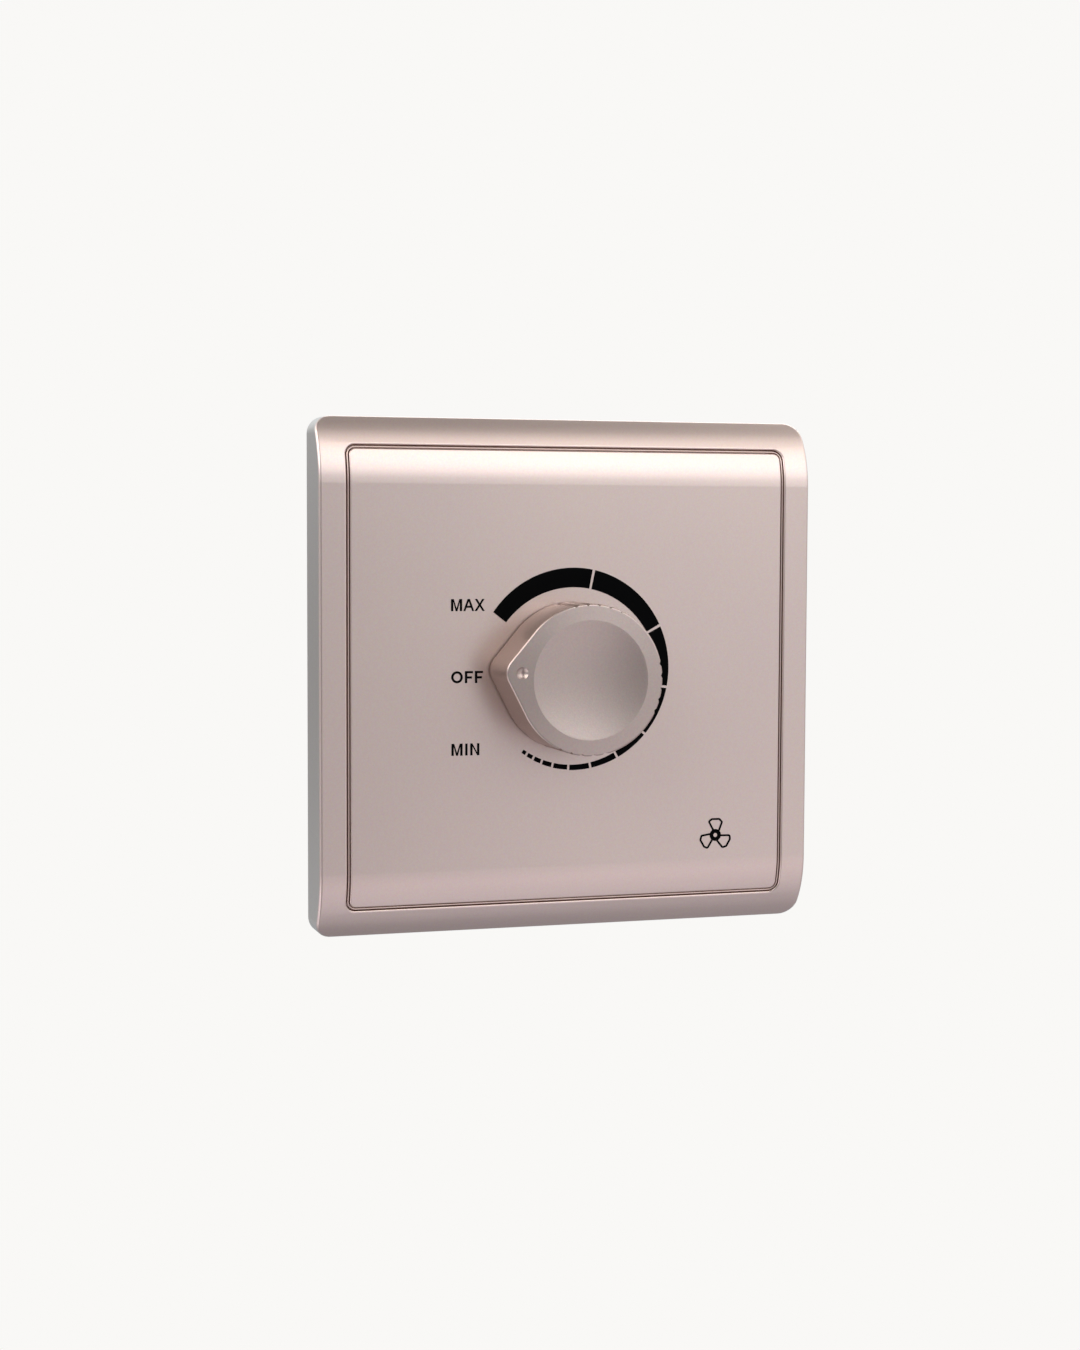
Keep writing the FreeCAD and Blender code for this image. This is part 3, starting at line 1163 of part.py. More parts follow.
build_outer_frame()
build_center_panel()
build_scale()
build_fan_symbol()
build_knob()
build_knob_clip()
build_shaft()
build_bush()
build_washer()
build_nut()
build_case()
build_wafer()
build_wiper()
build_potentiometer_pins()
build_switch()
build_triac()
build_heat_sink()
build_triac_screw()
build_capacitors()
build_choke()
build_small_parts()
build_terminal_block()
build_terminal_clamps()
build_terminal_screws()
build_circuit_board()
build_mounting_frame()
build_rear_housing()
build_housing_screws()

doc.recompute()
for thing in doc.Objects:
    if "Invalid" in thing.State or "Error" in thing.State:
        raise SystemExit(f"{thing.Label} failed: {thing.State}")
for thing in pieces:
    if thing.Shape.isNull() or not thing.Shape.isValid():
        raise SystemExit(f"{thing.Label} has no valid shape")
os.makedirs("parts", exist_ok=True)
for thing in pieces:
    thing.Shape.exportStep(f"parts/{thing.Label}.step")
    bounds = thing.Shape.optimalBoundingBox()
    spans = [(bounds.XMin, bounds.XMax), (bounds.YMin, bounds.YMax), (bounds.ZMin, bounds.ZMax)]
    print(thing.Label, len(thing.Shape.Solids), f"{thing.Shape.Volume:.1f}",
          " ".join(f"{low:.2f}..{high:.2f}" for low, high in spans))
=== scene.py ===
"""Looks of the fan speed control switch: finishes, knob, words, bead, winding, studio and camera.

Metres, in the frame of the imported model: X is right and Z up, the front faces -Y and the wall is
the plane y = 0. The knob turns about the Y axis.
"""
import math

import bpy
from mathutils import Matrix, Vector


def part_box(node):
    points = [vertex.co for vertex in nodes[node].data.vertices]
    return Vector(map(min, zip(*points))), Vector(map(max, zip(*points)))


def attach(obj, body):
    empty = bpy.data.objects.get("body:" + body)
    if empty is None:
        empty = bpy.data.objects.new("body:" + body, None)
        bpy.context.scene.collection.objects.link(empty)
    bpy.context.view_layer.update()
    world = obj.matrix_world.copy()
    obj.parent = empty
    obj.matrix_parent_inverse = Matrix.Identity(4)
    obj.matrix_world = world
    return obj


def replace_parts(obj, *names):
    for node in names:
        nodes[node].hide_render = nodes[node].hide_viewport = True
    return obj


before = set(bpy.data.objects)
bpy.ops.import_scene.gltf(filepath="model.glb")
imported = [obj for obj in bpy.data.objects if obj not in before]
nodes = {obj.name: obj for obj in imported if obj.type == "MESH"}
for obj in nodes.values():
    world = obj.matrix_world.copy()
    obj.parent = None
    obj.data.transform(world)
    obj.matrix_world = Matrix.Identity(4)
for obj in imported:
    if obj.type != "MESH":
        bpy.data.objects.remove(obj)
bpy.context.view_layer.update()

MM = 0.001


def linear(code):
    """An sRGB hex colour as the linear values that a shader takes."""
    shares = [int(code[digit:digit + 2], 16) / 255 for digit in (1, 3, 5)]
    return (*(c / 12.92 if c <= 0.04045 else ((c + 0.055) / 1.055) ** 2.4 for c in shares), 1.0)


def add(tree, kind, inputs=None, **settings):
    """Add a node with its settings. Each input is given a value, or a socket to be linked from."""
    node = tree.nodes.new(kind)
    for name, value in settings.items():
        setattr(node, name, value)
    for key, value in (inputs or {}).items():
        if isinstance(value, bpy.types.NodeSocket):
            tree.links.new(value, node.inputs[key])
        else:
            node.inputs[key].default_value = value
    return node


def new_material(name):
    """An empty node material with its tree and the object coordinates its patterns read."""
    material = bpy.data.materials.new(name)
    material.use_nodes = True
    tree = material.node_tree
    tree.nodes.clear()
    place = add(tree, "ShaderNodeTexCoord").outputs["Object"]
    return material, tree, place


def close_material(tree, shader):
    """Lead the shader to the material's surface."""
    add(tree, "ShaderNodeOutputMaterial", {"Surface": shader.outputs[0]})


def grains(millimetres):
    """Scale of a noise whose grains are about this many millimetres across."""
    return 1 / (millimetres * MM)


# The plate's front is flat up to a height above and below the knob's axis, then rolled back on an arc
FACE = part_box("center_panel")[0].y
FACE_FLAT = 32.0 * MM
FACE_CURVE = 14.5 * MM
KNOB_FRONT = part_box("knob")[0].y
DISH_RADIUS = 9.85 * MM


def rolled_back(tree, height, flat, curve):
    """How far the front has rolled back at a height above or below the knob's axis."""
    away = add(tree, "ShaderNodeMath", {0: height}, operation="ABSOLUTE")
    over = add(tree, "ShaderNodeMath", {0: away.outputs[0], 1: flat}, operation="SUBTRACT",
               use_clamp=True)
    square_over = add(tree, "ShaderNodeMath", {0: over.outputs[0], 1: 2.0}, operation="POWER")
    square_curve = add(tree, "ShaderNodeMath", {0: curve, 1: 2.0}, operation="POWER")
    left = add(tree, "ShaderNodeMath", {0: square_curve.outputs[0], 1: square_over.outputs[0]},
               operation="SUBTRACT")
    root = add(tree, "ShaderNodeMath", {0: left.outputs[0]}, operation="SQRT")
    return add(tree, "ShaderNodeMath", {0: curve, 1: root.outputs[0]}, operation="SUBTRACT").outputs[0]


# Finishes
PATCH = 30  # grains across a patch of the tint
GLOSS_DRIFT = 0.05
GRAIN_STRENGTH = 0.6


def moulded(name, colour, tint, roughness, grain=0.5, relief=0.01, metallic=0.0, stretch=(1, 1, 1),
            **extra):
    """A surface whose colour drifts towards a tint and whose gloss and relief follow one fine grain.
    Grain and relief are in millimetres, and stretch packs the grain closer along an axis."""
    material, tree, place = new_material(name)
    spread = add(tree, "ShaderNodeMapping", {"Vector": place, "Scale": stretch})
    fine = add(tree, "ShaderNodeTexNoise", {
        "Vector": spread.outputs[0], "Scale": grains(grain), "Detail": 3.0})
    broad = add(tree, "ShaderNodeTexNoise", {
        "Vector": place, "Scale": grains(PATCH * grain), "Detail": 2.0})
    blend = add(tree, "ShaderNodeMix", {"Factor": broad.outputs["Fac"], 6: linear(colour), 7: linear(tint)},
                data_type="RGBA")
    gloss = add(tree, "ShaderNodeMapRange", {
        "Value": fine.outputs["Fac"], "To Min": roughness - GLOSS_DRIFT, "To Max": roughness + GLOSS_DRIFT})
    bump = add(tree, "ShaderNodeBump", {
        "Height": fine.outputs["Fac"], "Distance": relief * MM, "Strength": GRAIN_STRENGTH})
    shader = add(tree, "ShaderNodeBsdfPrincipled", {
        "Base Color": blend.outputs[2], "Roughness": gloss.outputs[0], "Metallic": metallic,
        "Normal": bump.outputs[0], **extra})
    close_material(tree, shader)
    return material


GROOVE_REACH = 40 * MM  # the groove lies within this of the knob's axis, sideways and up
GROOVE_DEPTH = 1.2 * MM
SHADE_FROM, SHADE_FULL = 0.1 * MM, 0.4 * MM  # depths below the face over which the groove's painted shade comes in
# brown painted shade on the walls of the groove
GROOVE_SHADE_BROWN = "#B07A5A"


def groove_shade_mask(tree, place):
    """Mask of the groove's painted shade: 1 on the walls of the groove round the panel, and 0 elsewhere."""
    spot = add(tree, "ShaderNodeSeparateXYZ", {0: place})
    drop = rolled_back(tree, spot.outputs["Z"], FACE_FLAT, FACE_CURVE)
    fallen = add(tree, "ShaderNodeMath", {0: spot.outputs["Y"], 1: drop}, operation="SUBTRACT")
    deep = add(tree, "ShaderNodeMapRange", {
        "Value": fallen.outputs[0], "From Min": FACE + SHADE_FROM, "From Max": FACE + SHADE_FULL})
    shallow = add(tree, "ShaderNodeMath", {0: fallen.outputs[0], 1: FACE + GROOVE_DEPTH},
                  operation="LESS_THAN")
    across, along = [add(tree, "ShaderNodeMath", {0: spot.outputs[way]}, operation="ABSOLUTE")
                     for way in ("X", "Z")]
    out = add(tree, "ShaderNodeMath", {0: across.outputs[0], 1: along.outputs[0]}, operation="MAXIMUM")
    within = add(tree, "ShaderNodeMath", {0: out.outputs[0], 1: GROOVE_REACH}, operation="LESS_THAN")
    walls = add(tree, "ShaderNodeMath", {0: deep.outputs[0], 1: within.outputs[0]}, operation="MULTIPLY")
    return add(tree, "ShaderNodeMath", {0: walls.outputs[0], 1: shallow.outputs[0]},
               operation="MULTIPLY").outputs[0]


DISH_EDGE = 0.98  # where the sanded dish starts to fade, as a share of its radius
SIDES_FROM, SIDES_FULL = 0.2 * MM, 0.9 * MM  # depths behind the knob's front over which the painted side shade comes in


def in_dish(tree, place):
    """1 within the finger dish's radius about the knob's axis, and 0 outside it."""
    across = add(tree, "ShaderNodeVectorMath", {0: place, 1: (1, 0, 1)}, operation="MULTIPLY")
    radius = add(tree, "ShaderNodeVectorMath", {0: across.outputs[0]}, operation="LENGTH")
    return add(tree, "ShaderNodeMapRange", {
        "Value": radius.outputs["Value"], "From Min": DISH_EDGE * DISH_RADIUS, "From Max": DISH_RADIUS,
        "To Min": 1.0, "To Max": 0.0}).outputs[0]


def knob_side_shade_mask(tree, place, dish):
    """Mask of the knob's painted side shade: 1 on the knob's sides, behind the edge of its front, and 0 on
    the front and in the dish.
    """
    spot = add(tree, "ShaderNodeSeparateXYZ", {0: place})
    behind = add(tree, "ShaderNodeMapRange", {
        "Value": spot.outputs["Y"], "From Min": KNOB_FRONT + SIDES_FROM,
        "From Max": KNOB_FRONT + SIDES_FULL})
    return add(tree, "ShaderNodeMath", {0: behind.outputs[0], 1: dish}, operation="SUBTRACT",
               use_clamp=True).outputs[0]


# Sizes of the paint's patterns, in millimetres
FLAKE = 0.22
TONE_PATCH = 25
PEEL = 1.4
FILM_RELIEF = 0.004
SAND = 0.25
SAND_RELIEF = 0.03
# What the flakes do to the gloss and the colour, and how much of the surface is metal
FLAKE_GLOSS = 0.03
FLAKE_TINT = 0.06
FLAKE_COVER = 0.82


def rose_gold_paint(name, rose, champagne, roughness, sides=None):
    """Satin metallic paint on ABS. Tiny aluminium flakes break up its gloss, and it shades from
    rose to champagne over a few centimetres. The flakes are drawn coarser than the real ones, so
    that they show. On the walls of the groove its colour turns brown, a painted shade. With a colour
    for the sides it is the knob's: the coat turns to that colour behind the front's edge, a painted
    reflection of the shaded plate, and the finger dish is blasted before it is painted, which leaves
    grains of a quarter of a millimetre."""
    material, tree, place = new_material(name)
    flakes = add(tree, "ShaderNodeTexVoronoi", {"Vector": place, "Scale": grains(FLAKE)})
    drift = add(tree, "ShaderNodeTexNoise", {"Vector": place, "Scale": grains(TONE_PATCH), "Detail": 1.0})
    orange_peel = add(tree, "ShaderNodeTexNoise", {"Vector": place, "Scale": grains(PEEL), "Detail": 2.0})
    tone = add(tree, "ShaderNodeMix", {
        "Factor": drift.outputs["Fac"], 6: linear(rose), 7: linear(champagne)}, data_type="RGBA")
    # on the groove's walls the colour turns brown, a painted shade
    coat = add(tree, "ShaderNodeMix", {
        "Factor": groove_shade_mask(tree, place), 6: tone.outputs[2], 7: linear(GROOVE_SHADE_BROWN)}, data_type="RGBA")
    gloss = add(tree, "ShaderNodeMapRange", {
        "Value": flakes.outputs["Distance"], "From Max": 0.8, "To Min": roughness - FLAKE_GLOSS,
        "To Max": roughness + FLAKE_GLOSS})
    peel = add(tree, "ShaderNodeBump", {
        "Height": orange_peel.outputs["Fac"], "Distance": FILM_RELIEF * MM, "Strength": 0.35})
    relief = add(tree, "ShaderNodeBump", {
        "Height": flakes.outputs["Distance"], "Distance": FILM_RELIEF * MM, "Strength": 0.25,
        "Normal": peel.outputs[0]})
    if sides:
        dish = in_dish(tree, place)
        # behind the front's edge the knob turns to the side colour, a painted reflection of the shaded
        # plate
        coat = add(tree, "ShaderNodeMix", {
            "Factor": knob_side_shade_mask(tree, place, dish), 6: coat.outputs[2], 7: linear(sides)},
            data_type="RGBA")
        sand = add(tree, "ShaderNodeTexNoise", {"Vector": place, "Scale": grains(SAND), "Detail": 2.0})
        height = add(tree, "ShaderNodeMath", {0: sand.outputs["Fac"], 1: dish}, operation="MULTIPLY")
        relief = add(tree, "ShaderNodeBump", {
            "Height": height.outputs[0], "Distance": SAND_RELIEF * MM, "Strength": 0.35,
            "Normal": relief.outputs[0]})
    sparkle = add(tree, "ShaderNodeMix", {
        "Factor": FLAKE_TINT, 6: coat.outputs[2], 7: flakes.outputs["Color"]},
        data_type="RGBA", blend_type="OVERLAY")
    shader = add(tree, "ShaderNodeBsdfPrincipled", {
        "Base Color": sparkle.outputs[2], "Roughness": gloss.outputs[0], "Metallic": FLAKE_COVER,
        "Normal": relief.outputs[0]})
    close_material(tree, shader)
    return material


WEAVE = 6.0  # millimetres, and the wave's threads repeat at just under a third of it


def board_laminate():
    """Glass-fibre board under green solder mask: a square weave shows through the mask. It is drawn
    coarser than the real cloth, so that it shows."""
    material, tree, place = new_material("green masked glass-fibre laminate")
    weave = [add(tree, "ShaderNodeTexWave", {"Vector": place, "Scale": grains(WEAVE), "Distortion": 0.4},
                 bands_direction=way) for way in ("X", "Z")]
    cloth = add(tree, "ShaderNodeMath", {0: weave[0].outputs["Fac"], 1: weave[1].outputs["Fac"]},
                operation="MULTIPLY")
    tone = add(tree, "ShaderNodeMix", {
        "Factor": cloth.outputs[0], 6: linear("#1F5B34"), 7: linear("#2C7544")}, data_type="RGBA")
    bump = add(tree, "ShaderNodeBump", {"Height": cloth.outputs[0], "Distance": 0.01 * MM, "Strength": 0.3})
    shader = add(tree, "ShaderNodeBsdfPrincipled", {
        "Base Color": tone.outputs[2], "Roughness": 0.35, "Normal": bump.outputs[0]})
    close_material(tree, shader)
    return material


RESISTOR_REACH = 3.2 * MM
RESISTOR_BANDS = (  # how far along the body from its middle, in millimetres, and the colour from there
    (-3.2, "#C9A571"), (-2.4, "#7A4A1E"), (-1.9, "#C9A571"), (-1.1, "#1B1B1B"), (-0.6, "#C9A571"),
    (0.2, "#B0301F"), (0.7, "#C9A571"), (1.8, "#B58A2C"), (2.3, "#C9A571"))


def banded_lacquer():
    """Tan lacquered resistors with four painted colour bands. One body lies along X, to the left of
    the middle, and the other along Z, to the right."""
    material, tree, place = new_material("tan resistor lacquer with colour bands")
    low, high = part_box("resistors")
    spot = add(tree, "ShaderNodeSeparateXYZ", {0: place})
    flat_body = add(tree, "ShaderNodeMath", {0: spot.outputs["X"], 1: low.x + high.z},
                    operation="SUBTRACT")
    upright = add(tree, "ShaderNodeMath", {0: spot.outputs["X"], 1: 0.0}, operation="GREATER_THAN")
    along = add(tree, "ShaderNodeMix", {
        "Factor": upright.outputs[0], 2: flat_body.outputs[0], 3: spot.outputs["Z"]})
    share = add(tree, "ShaderNodeMapRange", {
        "Value": along.outputs[0], "From Min": -RESISTOR_REACH, "From Max": RESISTOR_REACH})
    bands = add(tree, "ShaderNodeValToRGB", {"Fac": share.outputs[0]})
    bands.color_ramp.interpolation = "CONSTANT"
    for number, (start, colour) in enumerate(RESISTOR_BANDS):
        stop = (start * MM + RESISTOR_REACH) / (2 * RESISTOR_REACH)
        elements = bands.color_ramp.elements
        element = elements[number] if number < 2 else elements.new(stop)
        element.position = stop
        element.color = linear(colour)
    speckle = add(tree, "ShaderNodeTexNoise", {"Vector": place, "Scale": grains(0.8)})
    tone = add(tree, "ShaderNodeMix", {"Factor": 0.12, 6: bands.outputs[0], 7: speckle.outputs["Color"]},
               data_type="RGBA", blend_type="OVERLAY")
    shader = add(tree, "ShaderNodeBsdfPrincipled", {
        "Base Color": tone.outputs[2], "Roughness": 0.4, "Coat Weight": 0.3})
    close_material(tree, shader)
    return material


def clear_glass(name, tint, roughness=0.05):
    """Glass of a small drawn tube, clear or tinted, with the faint waviness that drawing leaves."""
    material, tree, place = new_material(name)
    waves = add(tree, "ShaderNodeTexNoise", {"Vector": place, "Scale": grains(1.5)})
    bump = add(tree, "ShaderNodeBump", {
        "Height": waves.outputs["Fac"], "Distance": 0.01 * MM, "Strength": 0.2})
    shader = add(tree, "ShaderNodeBsdfPrincipled", {
        "Base Color": linear(tint), "Roughness": roughness, "IOR": 1.5, "Transmission Weight": 0.7,
        "Normal": bump.outputs[0]})
    close_material(tree, shader)
    return material


BRUSHED = (1, 12, 1)  # the grain is twelve times finer along Y than across it

paint = rose_gold_paint("satin rose gold paint on ABS", "#E6CEC1", "#E2CAC0", roughness=0.3)
# The knob's coat is a shade darker than the plate's, and its sides turn warmer, a painted reflection of the
# shaded plate
knob_paint = rose_gold_paint("darker satin rose gold paint on ABS", "#C3AFA3", "#BFAAA1", roughness=0.32,
                             sides="#C5ACA0")
finishes = {
    "rose_gold_paint": paint,
    # pad-printed ink, dense and matt, a touch uneven
    "black_ink": moulded("black pad-printing ink", "#020202", "#040404", 0.8, grain=0.3, relief=0.002,
                         **{"Specular IOR Level": 0.05}),
    # tempered spring steel, dark blue-grey and bright where it was rolled
    "spring_steel": moulded("tempered spring steel", "#6E747C", "#565C66", 0.32, metallic=1.0,
                            stretch=BRUSHED),
    # extruded aluminium, pale grey with fine die lines
    "aluminium": moulded("extruded aluminium", "#C8CACC", "#B9BCBF", 0.36, metallic=1.0, stretch=BRUSHED),
    # turned brass, warm yellow, a little dulled
    "brass": moulded("turned brass", "#D0A75A", "#BE9448", 0.3, metallic=1.0, grain=0.4),
    # steel under bright nickel, smooth and faintly warm
    "nickel_steel": moulded("nickel-plated steel", "#C9C6BF", "#B7B4AC", 0.25, metallic=1.0, grain=0.6),
    # paper phenolic, brown and waxy, with short fibres
    "phenolic": moulded("brown phenolic paper", "#7A4A26", "#5E371B", 0.5, grain=0.8, relief=0.02),
    # nylon moulded in a plain tool, soft grey-black sheen
    "black_nylon": moulded("moulded black nylon", "#17181A", "#222326", 0.5, grain=0.4),
    # glossy white polycarbonate with slight moulded waviness
    "white_polycarbonate": moulded("moulded white polycarbonate", "#EAE8E2", "#E0DED6", 0.34, grain=1.2,
                                   relief=0.008),
    # ABS from a spark-eroded mould, whose texture gives the housing a fine matt grain
    "black_abs": moulded("spark-textured black ABS", "#1B1C1E", "#252628", 0.55, grain=0.35, relief=0.05),
    "board_laminate": board_laminate(),
    # moulded epoxy, dull charcoal with the stipple of its filler
    "epoxy_black": moulded("moulded black epoxy", "#1C1C1D", "#262627", 0.6, grain=0.25, relief=0.02),
    # polyester box, even yellow and half glossy
    "capacitor_yellow": moulded("yellow polyester capacitor case", "#D9A61E", "#CB9816", 0.38, grain=1.0),
    # dipped coating, glossy green and a little lumpy
    "capacitor_green": moulded("green dipped capacitor coating", "#2F6E3D", "#286336", 0.28, grain=1.5),
    # sintered ferrite, dark grey and dry like fine stone
    "ferrite": moulded("sintered ferrite", "#2E2D2D", "#3A3938", 0.7, grain=0.2, relief=0.03),
    # copper wire under clear enamel, deep red-brown with a sharp shine
    "enamelled_copper": moulded("enamelled copper wire", "#A6552B", "#8E431F", 0.25, metallic=1.0,
                                grain=0.6),
    "fuse_glass": clear_glass("fuse glass", "#E8EFEC"),
    "diac_glass": clear_glass("blue diode glass", "#3F66B0"),
    "resistor_lacquer": banded_lacquer(),
    # moulded polyamide, opaque green and slightly waxy
    "terminal_plastic": moulded("green moulded polyamide", "#2E7D4F", "#277247", 0.42, grain=0.7,
                                relief=0.02),
}

for node in nodes.values():
    finish = finishes[node.data.materials[0].name]
    for number in range(len(node.data.materials)):
        node.data.materials[number] = finish


def rider(name, mesh, body, slot, material=None):
    """A finished piece: its mesh in the frame's place, attached to its body, in the slot's finish unless a
    material is given.
    """
    piece = bpy.data.objects.new(name, mesh)
    bpy.context.scene.collection.objects.link(piece)
    mesh.materials.clear()
    mesh.materials.append(material or finishes[slot])
    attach(piece, body)
    return piece


# Knob
LEAN = math.radians(20)
SLIVER = 1e-13  # square metres


def merged_mesh(name, source):
    """A solid's mesh with its doubles merged. Its corners keep the solid's own normals, apart from
    the few, at poles, that lean away from their face. A sliver's face has no sure normal, so its
    corners keep theirs."""
    places, faces, normals = {}, [], []
    for polygon in source.polygons:
        corners = [tuple(source.vertices[corner].co) for corner in polygon.vertices]
        if len(set(corners)) < len(corners):
            continue
        faces.append([places.setdefault(corner, len(places)) for corner in corners])
        for corner in polygon.loop_indices:
            normal = source.corner_normals[corner].vector
            leans = polygon.area > SLIVER and normal.angle(polygon.normal) > LEAN
            normals.append(polygon.normal.copy() if leans else normal.copy())
    mesh = bpy.data.meshes.new(name)
    mesh.from_pydata(list(places), [], faces)
    mesh.shade_smooth()
    mesh.normals_split_custom_set(normals)
    return mesh


knob_cap = rider("knob_cap", merged_mesh("knob_cap", nodes["knob"].data), "knob_assembly",
                 "rose_gold_paint", knob_paint)
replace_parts(knob_cap, "knob")


# Words printed on the panel. A letter's outlines are drawn one unit high, and its width and side
# spaces are those of a plain grotesque.
INK = 0.03 * MM
CAPITALS = 2.0 * MM
STEM = 0.205
CROSSBAR = 0.85 * STEM
ARM = STEM * 0.9
BOWL = STEM * 0.97
ROUND_STEPS = 48


def ellipse(wide, tall, inset):
    """An ellipse that stays an inset away from the sides of a wide by tall box."""
    turns = [2 * math.pi * step / ROUND_STEPS for step in range(ROUND_STEPS)]
    return [(wide / 2 + (wide / 2 - inset) * math.cos(turn), tall / 2 + (tall / 2 - inset) * math.sin(turn))
            for turn in turns]


def letter_m(wide=0.97, arm=0.24, foot=0.08, shoulder=0.24):
    middle = wide / 2
    return [[(0, 0), (0, 1), (arm, 1), (middle, shoulder), (wide - arm, 1), (wide, 1), (wide, 0),
             (wide - STEM, 0), (wide - STEM, 1 - shoulder), (middle + foot, 0), (middle - foot, 0),
             (STEM, 1 - shoulder), (STEM, 0)]]


def letter_a(wide=0.95, peak=0.1, foot=0.18, bar=0.27):
    middle = wide / 2
    lean = (middle - foot) / (1 - STEM)
    under, over = foot + bar * lean, foot + (bar + CROSSBAR) * lean
    return [[(0, 0), (middle - peak, 1), (middle + peak, 1), (wide, 0), (wide - foot, 0),
             (wide - under, bar), (under, bar), (foot, 0)],
            [(over, bar + CROSSBAR), (wide - over, bar + CROSSBAR), (middle, 1 - STEM)]]


def letter_x(wide=0.9, arm=0.21, waist=0.105, notch=0.14, rise=0.51, inset=0.03):
    middle = wide / 2
    return [[(0, 0), (middle - waist, rise), (inset, 1), (inset + arm, 1), (middle, rise + notch),
             (wide - inset - arm, 1), (wide - inset, 1), (middle + waist, rise), (wide, 0), (wide - arm, 0),
             (middle, rise - notch), (arm, 0)]]


def letter_f(wide=0.69, arm=0.6, middle=0.56):
    return [[(0, 0), (0, 1), (wide, 1), (wide, 1 - ARM), (STEM, 1 - ARM), (STEM, middle),
             (arm, middle), (arm, middle - ARM), (STEM, middle - ARM), (STEM, 0)]]


def letter_i():
    return [[(0, 0), (0, 1), (STEM, 1), (STEM, 0)]]


def letter_n(wide=0.8, arm=0.19, shoulder=0.26):
    return [[(0, 0), (0, 1), (arm, 1), (wide - STEM, shoulder), (wide - STEM, 1), (wide, 1), (wide, 0),
             (wide - arm, 0), (STEM, 1 - shoulder), (STEM, 0)]]


def letter_o(wide=0.98):
    return [ellipse(wide, 1, 0), ellipse(wide, 1, BOWL)]


LETTERS = {  # outlines, and the space before and after the letter
    "M": (letter_m(), 0.1, 0.1),
    "A": (letter_a(), 0.0, 0.0),
    "X": (letter_x(), 0.03, 0.03),
    "O": (letter_o(), 0.055, 0.055),
    "F": (letter_f(), 0.12, 0.04),
    "I": (letter_i(), 0.13, 0.13),
    "N": (letter_n(), 0.1, 0.1),
}
WORDS = {  # left end, right end and middle height, in millimetres
    "MAX": (-20.9, -15.1, 12.07),
    "OFF": (-20.85, -15.4, 0.15),
    "MIN": (-20.8, -16.0, -11.87),
}


def printed_word(word, left, right, middle):
    """Letters as a thin layer of ink, fitted between the word's two ends. They are drawn one unit
    thick and flattened to the ink's thickness."""
    curve = bpy.data.curves.new(f"word_{word}", "CURVE")
    curve.dimensions = "2D"
    curve.fill_mode = "BOTH"
    curve.extrude = 0.5
    pen = 0.0
    for letter in word:
        outlines, before, after = LETTERS[letter]
        pen += before
        for outline in outlines:
            spline = curve.splines.new("POLY")
            spline.points.add(len(outline) - 1)
            for point, (x, y) in zip(spline.points, outline):
                point.co = (pen + x, y, 0, 1)
            spline.use_cyclic_u = True
        pen += max(x for outline in outlines for x, y in outline) + after
    maker = bpy.data.objects.new(f"word_{word}", curve)
    bpy.context.scene.collection.objects.link(maker)
    bpy.context.view_layer.update()
    mesh = bpy.data.meshes.new_from_object(maker.evaluated_get(bpy.context.evaluated_depsgraph_get()))
    bpy.data.objects.remove(maker)
    first = min(vertex.co.x for vertex in mesh.vertices)
    last = max(vertex.co.x for vertex in mesh.vertices)
    wide = (right - left) * MM / (last - first)
    for vertex in mesh.vertices:
        x, y, z = vertex.co
        vertex.co = (left * MM + (x - first) * wide, FACE - INK * (z + 0.5),
                     middle * MM + (y - 0.5) * CAPITALS)
    return rider(f"word_{word.lower()}", mesh, "base", "black_ink")


for word, (left, right, middle) in WORDS.items():
    printed_word(word, left, right, middle)


# Rounded bead along the panel's edge. It lies low in the gap between the panel and the bezel and
# shows as a light line between two dark ones.
BEAD_RADIUS = 0.14 * MM
BEAD_SINK = 0.27 * MM
BEAD_PITCH = 0.3 * MM
GAP = 0.6 * MM
PANEL_CORNER = 1.1 * MM  # the corner's radius, as in the solid
ARC_STEPS = 8


def node_group(name, sizes):
    """Geometry node tree with a named input for each size and one for the finish, and those inputs."""
    tree = bpy.data.node_groups.new(name, "GeometryNodeTree")
    tree.interface.new_socket("Geometry", in_out="OUTPUT", socket_type="NodeSocketGeometry")
    tree.interface.new_socket("Finish", in_out="INPUT", socket_type="NodeSocketMaterial")
    for size in sizes:
        tree.interface.new_socket(size, in_out="INPUT", socket_type="NodeSocketFloat")
    return tree, tree.nodes.new("NodeGroupInput").outputs


def grown(name, tree, sizes, finish):
    """The mesh that a node tree grows with these sizes, every face in one finish."""
    seed = bpy.data.objects.new(name, bpy.data.meshes.new(name))
    bpy.context.scene.collection.objects.link(seed)
    grower = seed.modifiers.new("grower", "NODES")
    grower.node_group = tree
    for socket in tree.interface.items_tree:
        if socket.item_type == "SOCKET" and socket.in_out == "INPUT":
            grower[socket.identifier] = finish if socket.name == "Finish" else sizes[socket.name]
    bpy.context.view_layer.update()
    mesh = bpy.data.meshes.new_from_object(seed.evaluated_get(bpy.context.evaluated_depsgraph_get()))
    seed.modifiers.remove(grower)
    bpy.data.objects.remove(seed)
    return mesh


def close_tree(tree, geometry, inputs):
    """End a tree in real geometry with its finish set."""
    real = add(tree, "GeometryNodeRealizeInstances", {0: geometry})
    painted = add(tree, "GeometryNodeSetMaterial", {0: real.outputs[0], "Material": inputs["Finish"]})
    add(tree, "NodeGroupOutput", {0: painted.outputs[0]})


